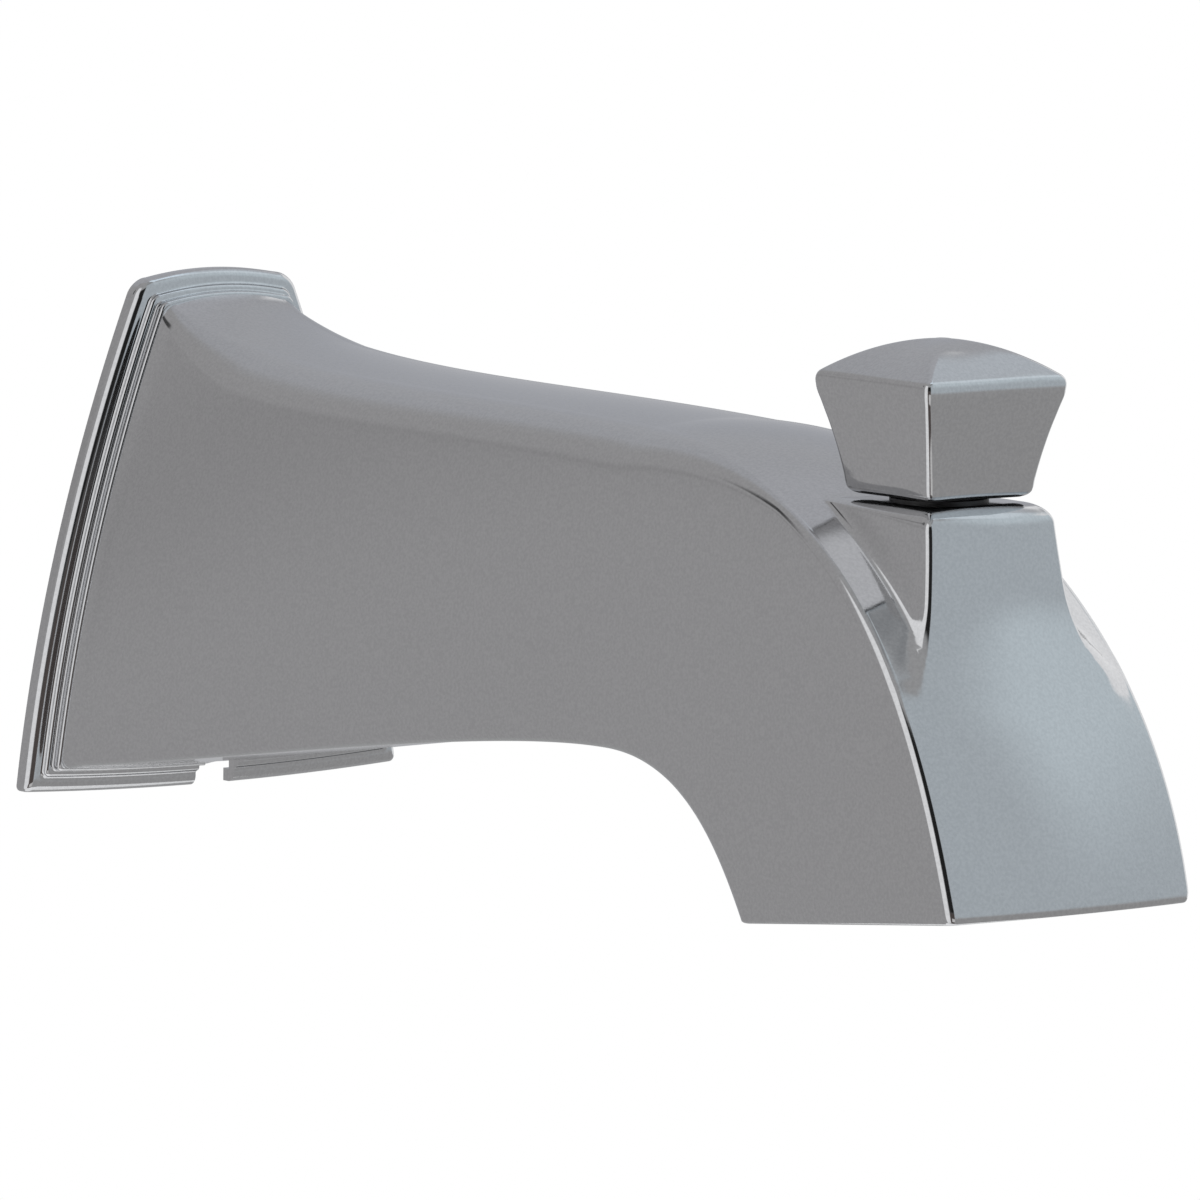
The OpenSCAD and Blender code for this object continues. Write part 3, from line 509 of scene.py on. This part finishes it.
def pedestal_loft():
    """The pedestal, and how many of its faces come before those of its hidden foot."""
    shares = [PEDESTAL_ROUND_SHARE * (1 - math.cos(a)) for a in arc(14)][:-1]
    shares += list(np.linspace(PEDESTAL_ROUND_SHARE, 1, 46))
    rings = [pedestal_ring(v) for v in shares]
    cols, last = len(rings[0]), (len(rings) - 1) * len(rings[0])
    faces = loft_faces(len(rings), cols, False)
    for k in range(cols // 2 - 1):
        p, q = cols - 1 - k, cols - 2 - k
        faces += [(k, q, k + 1), (k, p, q)]
    open_count = len(faces)
    for k in range(cols // 2 - 1):
        p, q = cols - 1 - k, cols - 2 - k
        faces += [(last + k, last + k + 1, last + q), (last + k, last + q, last + p)]
    return work_object("pedestal", np.concatenate(rings), faces), open_count


def prism(name, low, high):
    """Box between two corners."""
    (x0, y0, z0), (x1, y1, z1) = low, high
    points = [(x, y, z) for z in (z0, z1) for y in (y0, y1) for x in (x0, x1)]
    quads = [(0, 2, 3, 1), (4, 5, 7, 6), (0, 1, 5, 4), (2, 6, 7, 3), (0, 4, 6, 2), (1, 3, 7, 5)]
    return work_object(name, points, [t for a, b, c, d in quads for t in ((a, b, c), (a, c, d))])


def rod(name, start, end, r, sides=64):
    """Cylinder between two points that lie along X or along Z."""
    start, end = np.array(start, float), np.array(end, float)
    a = np.radians(360) * np.arange(sides) / sides
    if abs(end[0] - start[0]) > 0:
        rim = np.stack([np.zeros(sides), r * np.cos(a), r * np.sin(a)], 1)
    else:
        rim = np.stack([r * np.cos(a), r * np.sin(a), np.zeros(sides)], 1)
    points = np.concatenate([start + rim, end + rim, [start, end]])
    faces = []
    for i in range(sides):
        j = (i + 1) % sides
        faces += [(i, j, sides + i), (j, sides + j, sides + i),
                  (j, i, 2 * sides), (sides + i, sides + j, 2 * sides + 1)]
    return work_object(name, points, faces)


def carve(base, joined, removed):
    """The base with solids joined and removed, as a new mesh; the scratch objects go."""
    for others, operation in ((joined, "UNION"), (removed, "DIFFERENCE")):
        for other in others:
            step = base.modifiers.new(other.name, "BOOLEAN")
            step.operation = operation
            step.solver = "MANIFOLD"
            step.object = other
    graph = bpy.context.evaluated_depsgraph_get()
    mesh = bpy.data.meshes.new_from_object(base.evaluated_get(graph))
    for obj in [base, *joined, *removed]:
        bpy.data.objects.remove(obj)
    return mesh


def vectors(items, name):
    """A vector of each mesh element, one row for each."""
    values = np.empty(len(items) * 3)
    items.foreach_get(name, values)
    return values.reshape(-1, 3)


class Source:
    """Smooth surface that hands its normals on to the carved mesh; keep is its first faces."""

    def __init__(self, obj, keep=None):
        obj.data.shade_smooth()
        obj.data.set_sharp_from_angle(angle=SHARP_ANGLE)
        step = obj.modifiers.new("even", "WEIGHTED_NORMAL")
        step.keep_sharp = True
        graph = bpy.context.evaluated_depsgraph_get()
        mesh = obj.evaluated_get(graph).to_mesh()
        mesh.calc_loop_triangles()
        count = len(mesh.loop_triangles)
        self.points = vectors(mesh.vertices, "co")
        self.tris = np.empty(count * 3, int)
        mesh.loop_triangles.foreach_get("vertices", self.tris)
        self.tris = self.tris.reshape(-1, 3)
        loops = np.empty(count * 3, int)
        mesh.loop_triangles.foreach_get("loops", loops)
        self.normals = vectors(mesh.corner_normals, "vector")[loops.reshape(-1, 3)]
        obj.evaluated_get(graph).to_mesh_clear()
        obj.modifiers.remove(step)
        self.tris, self.normals = self.tris[:keep], self.normals[:keep]
        self.tree = BVHTree.FromPolygons(self.points.tolist(), self.tris.tolist(), all_triangles=True)

    def nearest(self, points, reach=1e9):
        """Normal of the surface at the spot nearest each point, and the distance to it."""
        spots = np.zeros((len(points), 3))
        index = np.zeros(len(points), int)
        gap = np.full(len(points), 1e9)
        for i, p in enumerate(points.tolist()):
            spot, _, face, distance = self.tree.find_nearest(p, reach)
            if spot is not None:
                spots[i], index[i], gap[i] = spot, face, distance
        a, b, c = (self.points[self.tris[index, k]] for k in range(3))
        area = np.cross(b - a, c - a)
        size = np.maximum((area * area).sum(1), 1e-18)
        wb = (np.cross(spots - a, c - a) * area).sum(1) / size
        wc = (np.cross(b - a, spots - a) * area).sum(1) / size
        weights = np.clip(np.stack([1 - wb - wc, wb, wc], 1), 0, 1)
        turned = (self.normals[index] * weights[:, :, None]).sum(1)
        turned /= np.maximum(np.linalg.norm(turned, axis=1, keepdims=True), 1e-9)
        return turned, gap


class Carved:
    """A carved mesh as arrays: points, faces and the normal at each corner, in millimetres."""

    def __init__(self, mesh):
        self.mesh = mesh
        self.points = vectors(mesh.vertices, "co")
        self.corner_point = np.empty(len(mesh.loops), int)
        mesh.loops.foreach_get("vertex_index", self.corner_point)
        sizes = np.array([len(p.vertices) for p in mesh.polygons])
        self.corner_face = np.repeat(np.arange(len(sizes)), sizes)
        self.centres = vectors(mesh.polygons, "center")
        mesh.shade_smooth()
        mesh.set_sharp_from_angle(angle=SHARP_ANGLE)
        self.normals = vectors(mesh.corner_normals, "vector")

    def corners(self):
        """Corner points, drawn a little into their own face."""
        return lerp(self.points[self.corner_point], self.centres[self.corner_face], CORNER_PULL)

    def store(self, node):
        """The mesh, with its points inside the node's box, in metres, and its normals."""
        low, high = (np.array(c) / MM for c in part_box(node))
        self.mesh.vertices.foreach_set("co", (np.clip(self.points, low, high) * MM).ravel())
        self.mesh.normals_split_custom_set(self.normals.tolist())
        return self.mesh


def unit_rows(v):
    return v / np.maximum(np.linalg.norm(v, axis=1, keepdims=True), 1e-9)


def body_additions():
    """Screw bosses with their webs, and the ribs that carry the tube and the valve housing."""
    solids = []
    boss_end = CARRIER_END + BOSS_LEN
    for side in (-1, 1):
        y = side * EAR_Y
        solids.append(rod(f"boss{side}", (CARRIER_END, y, EAR_Z), (boss_end, y, EAR_Z), EAR_R))
        out = side * (flank_half(boss_end, EAR_Z) - BODY_WALL / 2)
        solids.append(prism(f"web{side}", (CARRIER_END, min(y, out), EAR_Z - WEB_HALF),
                            (boss_end, max(y, out), EAR_Z + WEB_HALF)))
        wide = side * (flank_half(SIDE_RIB_X, SIDE_RIB_HIGH) - BODY_WALL / 2)
        near = side * HOUSING_HALF
        solids.append(prism(f"rib{side}", (SIDE_RIB_X, min(wide, near), SIDE_RIB_LOW),
                            (SIDE_RIB_X + RIB_T, max(wide, near), SIDE_RIB_HIGH)))
    solids.append(prism("floor_rib", (FLOOR_RIB_X, -FLOOR_RIB_HALF, under_z(FLOOR_RIB_X) + BODY_WALL / 2),
                        (FLOOR_RIB_X + RIB_T, FLOOR_RIB_HALF, -TUBE_R)))
    return solids


def body_holes():
    """The notch of the flange, the bore of the bushing, the hole of the rod and the screw holes."""
    bore_floor = PEDESTAL_TOP - BUSHING_SINK - ROD_RING_D - ROD_RING_GAP
    holes = [
        prism("notch", (-OVER, -NOTCH_W / 2, -FLANGE_BOTTOM - FLANGE_BOTTOM_BOW - OVER),
              (NOTCH_LEN, NOTCH_W / 2, NOTCH_ROOF)),
        rod("bore", (ROD_X, 0, bore_floor), (ROD_X, 0, PEDESTAL_TOP + OVER), ROD_D / 2 + BUSHING_WALL),
        rod("rod_hole", (ROD_X, 0, -MOUTH_DROP), (ROD_X, 0, PEDESTAL_TOP), ROD_D / 2 + ROD_HOLE_GAP),
    ]
    for side in (-1, 1):
        y = side * EAR_Y
        holes.append(rod(f"screw{side}", (CARRIER_END - OVER, y, EAR_Z),
                         (CARRIER_END + SCREW_LEN, y, EAR_Z), SCREW_R))
    return holes


def blend_width(points):
    """Width of the blend of the pedestal into the body: tight along its sides, wide in front."""
    return lerp(BLEND_SIDE, BLEND_FRONT, ease((points[:, 0] - BLEND_X) / BLEND_SPAN))


def turned_towards(normals, others, gap, width):
    """Normals that turn half way to the other surface where it is near."""
    share = 0.5 * (1 - ease(gap / width))[:, None]
    return unit_rows(normals * (1 - share) + others * share)


def blend_normals(body, skin, pedestal):
    """Normals of the skin and of the pedestal, passing smoothly into each other where they meet."""
    _, face_skin = skin.nearest(body.centres, 1.0)
    _, face_pedestal = pedestal.nearest(body.centres, 1.0)
    on_skin = (face_skin < TOUCH)[body.corner_face]
    on_pedestal = ((face_pedestal < TOUCH) & (face_skin >= TOUCH))[body.corner_face]
    near = body.corners()
    skin_n, skin_gap = skin.nearest(near, BLEND_REACH)
    around = near[:, 0] > ROD_X - PEDESTAL_REAR - BLEND_REACH
    around &= near[:, 2] > BLEND_LOW
    pedestal_n, pedestal_gap = np.zeros_like(near), np.full(len(near), 1e9)
    pedestal_n[around], pedestal_gap[around] = pedestal.nearest(near[around], BLEND_REACH)
    width = blend_width(near)
    body.normals[on_skin] = turned_towards(skin_n, pedestal_n, pedestal_gap, width)[on_skin]
    body.normals[on_pedestal] = turned_towards(pedestal_n, skin_n, skin_gap, width)[on_pedestal]


def fill_crease(body, skin, pedestal):
    """Lift the crease between pedestal and nose into a hollow where the blend is wide."""
    close = (body.points[:, 0] > ROD_X) & (body.points[:, 2] > BLEND_LOW)
    spots = body.points[close]
    n_skin, g_skin = skin.nearest(spots, BLEND_REACH)
    n_pedestal, g_pedestal = pedestal.nearest(spots, BLEND_REACH)
    gap = np.maximum(g_skin, g_pedestal)
    touch = (np.minimum(g_skin, g_pedestal) < TOUCH) & (gap < BLEND_REACH)
    wide = blend_width(spots)
    lift = wide / 8 * unit(1 - gap / wide) ** 2 * touch * ease(wide - 1.0)
    body.points[close] = spots + unit_rows(n_skin + n_pedestal) * lift[:, None]


def fine_body():
    """The casting: skin, pedestal, bosses and ribs joined, holes cut, pedestal blended in."""
    skin = skin_loft()
    pedestal, open_count = pedestal_loft()
    skin_source, pedestal_source = Source(skin), Source(pedestal, open_count)
    body = Carved(carve(skin, [pedestal, *body_additions()], body_holes()))
    blend_normals(body, skin_source, pedestal_source)
    fill_crease(body, skin_source, pedestal_source)
    return body.store("spout_body")


def smooth_through(x, y, at):
    """Monotone curve through points, without overshoot."""
    x, y, at = np.asarray(x, float), np.asarray(y, float), np.asarray(at, float)
    h, slope = np.diff(x), np.diff(y) / np.diff(x)
    m = np.zeros_like(x)
    m[0], m[-1] = slope[0], slope[-1]
    for i in range(1, len(x) - 1):
        if slope[i - 1] * slope[i] > 0:
            a, b = 2 * h[i] + h[i - 1], h[i] + 2 * h[i - 1]
            m[i] = (a + b) / (a / slope[i - 1] + b / slope[i])
    k = np.clip(np.searchsorted(x, at) - 1, 0, len(h) - 1)
    t = (at - x[k]) / h[k]
    return ((2 * t ** 3 - 3 * t ** 2 + 1) * y[k] + (t ** 3 - 2 * t ** 2 + t) * h[k] * m[k]
            + (3 * t ** 2 - 2 * t ** 3) * y[k + 1] + (t ** 3 - t ** 2) * h[k] * m[k + 1])


def knob_ring(a, z):
    """Rounded square with slightly dished sides."""
    r, dish = min(KNOB_EDGE_R, a / 2), min(KNOB_DISH, a / 8)
    points = [(a - r + r * math.cos(t), a - r + r * math.sin(t)) for t in arc(12)]
    for u in np.linspace(1, -1, 22)[1:-1]:
        points.append((u * (a - r), a - dish * (1 - u * u) ** 2))
    quarter = np.array(points)
    rings = []
    for q in range(4):
        c, s = (1, 0, -1, 0)[q], (0, 1, 0, -1)[q]
        rings.append(np.stack([quarter[:, 0] * c - quarter[:, 1] * s,
                               quarter[:, 0] * s + quarter[:, 1] * c], 1))
    flat = np.concatenate(rings)
    return np.concatenate([flat + (ROD_X, 0), np.full((len(flat), 1), z)], 1)


def fine_knob():
    """The knob with its flared sides, soft rim, dome and the bore for its insert."""
    rim_z = KNOB_Z + KNOB_RIM_H
    levels = [0, 0.02, 0.06, 0.17, 0.36, 0.58, 0.78, 0.92, 1]
    flares = [-0.36, -0.14, 0, 0.09, 0.27, 0.52, 0.79, 0.97, 1]
    at = np.concatenate([np.linspace(0, 0.06, 7)[:-1], np.linspace(0.06, 0.94, 34)])
    path = [(lerp(KNOB_FOOT_HALF, KNOB_RIM_HALF, f), lerp(KNOB_Z, rim_z - KNOB_RIM_DROP, v))
            for v, f in zip(at, smooth_through(levels, flares, at))]

    def dome(a):
        return rim_z + KNOB_DOME_H * (1 - (a / KNOB_RIM_HALF) ** 2)

    start = np.array(path[-1])
    end = np.array([KNOB_RIM_HALF - KNOB_RIM_IN, dome(KNOB_RIM_HALF - KNOB_RIM_IN)])
    hook = np.array([KNOB_RIM_HALF + KNOB_LIP_OUT, rim_z - KNOB_LIP_DROP])
    for t in np.linspace(0, 1, 13)[1:]:
        path.append(tuple((1 - t) ** 2 * start + 2 * (1 - t) * t * hook + t * t * end))
    for a in np.linspace(end[0], KNOB_TIP, 34)[1:]:
        path.append((a, dome(a)))
    rings = [knob_ring(min(a, KNOB_RIM_HALF), z) for a, z in path]
    cols, rows = len(rings[0]), len(rings)
    points = np.concatenate(rings + [[(ROD_X, 0, path[0][1]), (ROD_X, 0, path[-1][1])]])
    faces = loft_faces(rows, cols, False)
    for i in range(cols):
        j = (i + 1) % cols
        faces += [(j, i, rows * cols), ((rows - 1) * cols + i, (rows - 1) * cols + j, rows * cols + 1)]
    shell = work_object("knob", points, faces)
    source = Source(shell)
    bore = rod("insert_bore", (ROD_X, 0, KNOB_Z - OVER), (ROD_X, 0, KNOB_Z + INSERT_LEN), INSERT_R)
    body = Carved(carve(shell, [], [bore]))
    _, gap = source.nearest(body.centres)
    outer = (gap < TOUCH)[body.corner_face]
    found, _ = source.nearest(body.corners())
    body.normals[outer] = found[outer]
    return body.store("diverter_knob")


def dress(mesh, name, body, slot, node):
    """A finished mesh stands for a CAD node and moves with its body."""
    obj = place(name, mesh)
    mesh.materials.clear()
    mesh.materials.append(MATERIALS[slot])
    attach(obj, body)
    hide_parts(node)
    return obj


def darken_underside_as_painted_shade(obj, height):
    """Faces that look down below a height, in millimetres, get the dark casting material as painted shade
    for the shadowed gap under the knob.
    """
    obj.data.materials.append(MATERIALS["casting"])
    for face in obj.data.polygons:
        if face.normal.z < DOWNWARD and face.center.z < height * MM:
            face.material_index = 1


dress(fine_body(), "body_casting", "spout", "chrome", "spout_body")
knob = dress(fine_knob(), "lift_knob", "diverter", "chrome", "diverter_knob")
# Painted shade: the knob's downward faces are made dark so the gap between knob and pedestal reads dark.
darken_underside_as_painted_shade(knob, KNOB_Z + 0.3)

# Camera

CAM_AZIMUTH = math.radians(52.51)
CAM_ELEVATION = math.radians(6.495)
CAM_ROLL = math.radians(-0.652)
CAM_DISTANCE = 1.345
CAM_TARGET = Vector((0.082107, 0.0, 0.0))
CAM_LENS = 334.26
CAM_SENSOR = 36.0
CAM_CLIP_START = 0.1
CAM_CLIP_END = 50.0


def place_camera():
    """Camera at the photograph's viewing angle, and the scene's own."""
    back = Vector((
        math.sin(CAM_AZIMUTH) * math.cos(CAM_ELEVATION),
        -math.cos(CAM_AZIMUTH) * math.cos(CAM_ELEVATION),
        math.sin(CAM_ELEVATION),
    ))
    right = Vector((math.cos(CAM_AZIMUTH), math.sin(CAM_AZIMUTH), 0.0))
    up = back.cross(right)
    turned_right = right * math.cos(CAM_ROLL) - up * math.sin(CAM_ROLL)
    turned_up = right * math.sin(CAM_ROLL) + up * math.cos(CAM_ROLL)
    data = bpy.data.cameras.new("camera")
    data.lens = CAM_LENS
    data.sensor_width = CAM_SENSOR
    data.clip_start = CAM_CLIP_START
    data.clip_end = CAM_CLIP_END
    camera = place("camera", data)
    turn = Matrix((turned_right, turned_up, back)).transposed().to_4x4()
    camera.matrix_world = Matrix.Translation(CAM_TARGET + back * CAM_DISTANCE) @ turn
    bpy.context.scene.camera = camera


place_camera()

# Studio

FILL_TONE = 0.7
STAGE_CENTRE = Vector((0.09, 0.0, 0.0))
STAGE_R = 2.2
TENT_TONE = 0.42


def shown_ray(nodes, links):
    """1 on rays from the camera and on mirror and transmission rays."""
    path = nodes.new("ShaderNodeLightPath")
    total = path.outputs["Is Camera Ray"]
    for name in ("Is Glossy Ray", "Is Transmission Ray"):
        node = nodes.new("ShaderNodeMath")
        node.operation = "MAXIMUM"
        links.new(total, node.inputs[0])
        links.new(path.outputs[name], node.inputs[1])
        total = node.outputs[0]
    return total


def light_world():
    """White background, with a plain grey fill on the object."""
    world = bpy.data.worlds.new("studio")
    bpy.context.scene.world = world
    world.use_nodes = True
    nodes, links = world.node_tree.nodes, world.node_tree.links
    nodes.clear()
    out = nodes.new("ShaderNodeOutputWorld")
    mix = nodes.new("ShaderNodeMixShader")
    links.new(shown_ray(nodes, links), mix.inputs["Fac"])
    for slot, tone in ((1, FILL_TONE), (2, 1.0)):
        light = nodes.new("ShaderNodeBackground")
        light.inputs["Color"].default_value = (tone, tone, tone, 1)
        links.new(light.outputs["Background"], mix.inputs[slot])
    links.new(mix.outputs["Shader"], out.inputs["Surface"])


# Studio cards: turns from and to, tilts from and to, softness in degrees, tone.
# Turns are degrees from +X towards +Y; tilts are degrees above the horizon.
CARDS = [
    ((118, 190), (-20, 90), 12, (0.47, 0.475, 0.495)),
    ((122, 158), (0, 24), 10, (0.425, 0.435, 0.465)),
    ((106, 148), (44, 76), 10, (0.51, 0.515, 0.54)),
    ((190, 262), (-90, 70), 14, (0.412, 0.406, 0.406)),
    ((198, 232), (10, 17), 6, (0.35, 0.344, 0.344)),
    ((-4, 92), (-90, -12), 6, (0.385, 0.382, 0.38)),
    ((-4, 92), (-8, 62), 6, (0.53, 0.58, 0.612)),
    ((41, 92), (21, 54), 12, (0.67, 0.75, 0.79)),
    ((-10, 84), (64, 90), 5, (0.4, 0.41, 0.415)),
    ((0, 70), (65, 71), 3, (0.3, 0.31, 0.32)),
    ((82, 124), (-15, 38), 2.5, (1.0, 1.0, 1.0)),
    ((94, 122), (41, 62), 6, (0.61, 0.65, 0.69)),
    ((217, 230), (28, 44), 3, (0.06, 0.06, 0.06)),
    ((62, 94), (42, 60), 4, (0.8, 0.88, 0.93)),
    ((74, 112), (60, 77), 3, (0.95, 1.08, 1.18)),
    ((258, 306), (-55, 65), 4, (1.0, 1.0, 1.0)),
    ((306, 358), (-60, 4), 4, (0.88, 0.86, 0.85)),
    ((309, 357), (-60, 9), 3, (0.1, 0.085, 0.08)),
    ((326, 357), (-40, -15), 3, (0.7, 0.69, 0.68)),
    ((310, 357), (8, 52), 4, (0.02, 0.02, 0.02)),
]


def window(value, low, high, soft):
    """1 between low and high, and easing to 0 within soft of them."""
    return ease((value - low + soft) / (2 * soft)) * ease((high + soft - value) / (2 * soft))


def painted_tent():
    """Soft cards on one large sphere that only mirror rays see."""
    turns, tilts = 360, 180
    th = np.radians(np.arange(turns) * 360 / turns)
    el = np.radians(np.linspace(-90, 90, tilts + 1))
    grid = np.stack([
        np.cos(el)[:, None] * np.cos(th)[None], np.cos(el)[:, None] * np.sin(th)[None],
        np.repeat(np.sin(el)[:, None], turns, 1),
    ], -1).reshape(-1, 3)
    faces = []
    for j in range(tilts):
        for i in range(turns):
            k = (i + 1) % turns
            faces.append((j * turns + i, j * turns + k, (j + 1) * turns + k, (j + 1) * turns + i))
    mesh = bpy.data.meshes.new("tent")
    mesh.from_pydata((grid * STAGE_R + np.array(STAGE_CENTRE)).tolist(), [], faces)
    th_deg = np.degrees(np.arctan2(grid[:, 1], grid[:, 0]))
    el_deg = np.degrees(np.arcsin(np.clip(grid[:, 2], -1, 1)))
    colour = np.full((len(grid), 3), TENT_TONE)
    for (a, b), (c, d), soft, tone in CARDS:
        middle = (a + b) / 2
        around = (th_deg - middle + 180) % 360 - 180 + middle
        share = window(around, a, b, soft) * window(el_deg, c, d, soft)
        colour += (np.array(tone) - colour) * share[:, None]
    layer = mesh.color_attributes.new("tone", "FLOAT_COLOR", "POINT")
    layer.data.foreach_set("color", np.concatenate([colour, np.ones((len(grid), 1))], 1).ravel())
    tent = place("tent", mesh)
    mat, nodes, links = new_material("tent")
    out = nodes.new("ShaderNodeOutputMaterial")
    glow = nodes.new("ShaderNodeEmission")
    tone = nodes.new("ShaderNodeVertexColor")
    tone.layer_name = "tone"
    links.new(tone.outputs["Color"], glow.inputs["Color"])
    links.new(glow.outputs["Emission"], out.inputs["Surface"])
    mesh.materials.append(mat)
    tent.visible_camera = False
    tent.visible_diffuse = False
    tent.visible_shadow = False


FLOOR_X = 0.08
FLOOR_Z = -0.3
FLOOR_R = 0.2
FLOOR_SIDES = 96
FLOOR_TONE = 0.8
FLOOR_GLOW = 0.3


def floor_material():
    """Pale matt floor that lights mirror and camera rays, and is clear from below."""
    mat, nodes, links = new_material("floor")
    out = nodes.new("ShaderNodeOutputMaterial")
    matte = nodes.new("ShaderNodeBsdfDiffuse")
    matte.inputs["Color"].default_value = (FLOOR_TONE, FLOOR_TONE, FLOOR_TONE, 1)
    glow = nodes.new("ShaderNodeEmission")
    glow.inputs["Color"].default_value = (1, 1, 1, 1)
    both = nodes.new("ShaderNodeAddShader")
    seen = nodes.new("ShaderNodeMath")
    seen.operation = "MULTIPLY"
    seen.inputs[1].default_value = FLOOR_GLOW
    links.new(shown_ray(nodes, links), seen.inputs[0])
    links.new(seen.outputs[0], glow.inputs["Strength"])
    links.new(matte.outputs["BSDF"], both.inputs[0])
    links.new(glow.outputs["Emission"], both.inputs[1])
    clear = nodes.new("ShaderNodeBsdfTransparent")
    side = nodes.new("ShaderNodeNewGeometry")
    pick = nodes.new("ShaderNodeMixShader")
    links.new(side.outputs["Backfacing"], pick.inputs["Fac"])
    links.new(both.outputs["Shader"], pick.inputs[1])
    links.new(clear.outputs["BSDF"], pick.inputs[2])
    links.new(pick.outputs["Shader"], out.inputs["Surface"])
    return mat


def pale_floor():
    """Round floor below the spout."""
    turns = [2 * math.pi * i / FLOOR_SIDES for i in range(FLOOR_SIDES)]
    ring = [(FLOOR_X + FLOOR_R * math.cos(a), FLOOR_R * math.sin(a), FLOOR_Z) for a in turns]
    mesh = bpy.data.meshes.new("floor")
    mesh.from_pydata(ring, [], [list(range(FLOOR_SIDES))])
    floor = place("floor", mesh)
    mesh.materials.append(floor_material())


def softbox(name, spot, size, power):
    """Rectangular lamp that faces the spout and shows in no mirror."""
    data = bpy.data.lights.new(name, "AREA")
    data.shape = "RECTANGLE"
    data.size, data.size_y = size
    data.energy = power
    lamp = place(name, data)
    lamp.location = spot
    aim = STAGE_CENTRE - Vector(spot)
    lamp.rotation_mode = "QUATERNION"
    lamp.rotation_quaternion = aim.to_track_quat("-Z", "Y")
    lamp.visible_glossy = False


light_world()
painted_tent()
pale_floor()
softbox("key", (0.5, -0.9, 1.3), (0.9, 0.7), 12.0)

bpy.context.scene.view_settings.view_transform = "Standard"
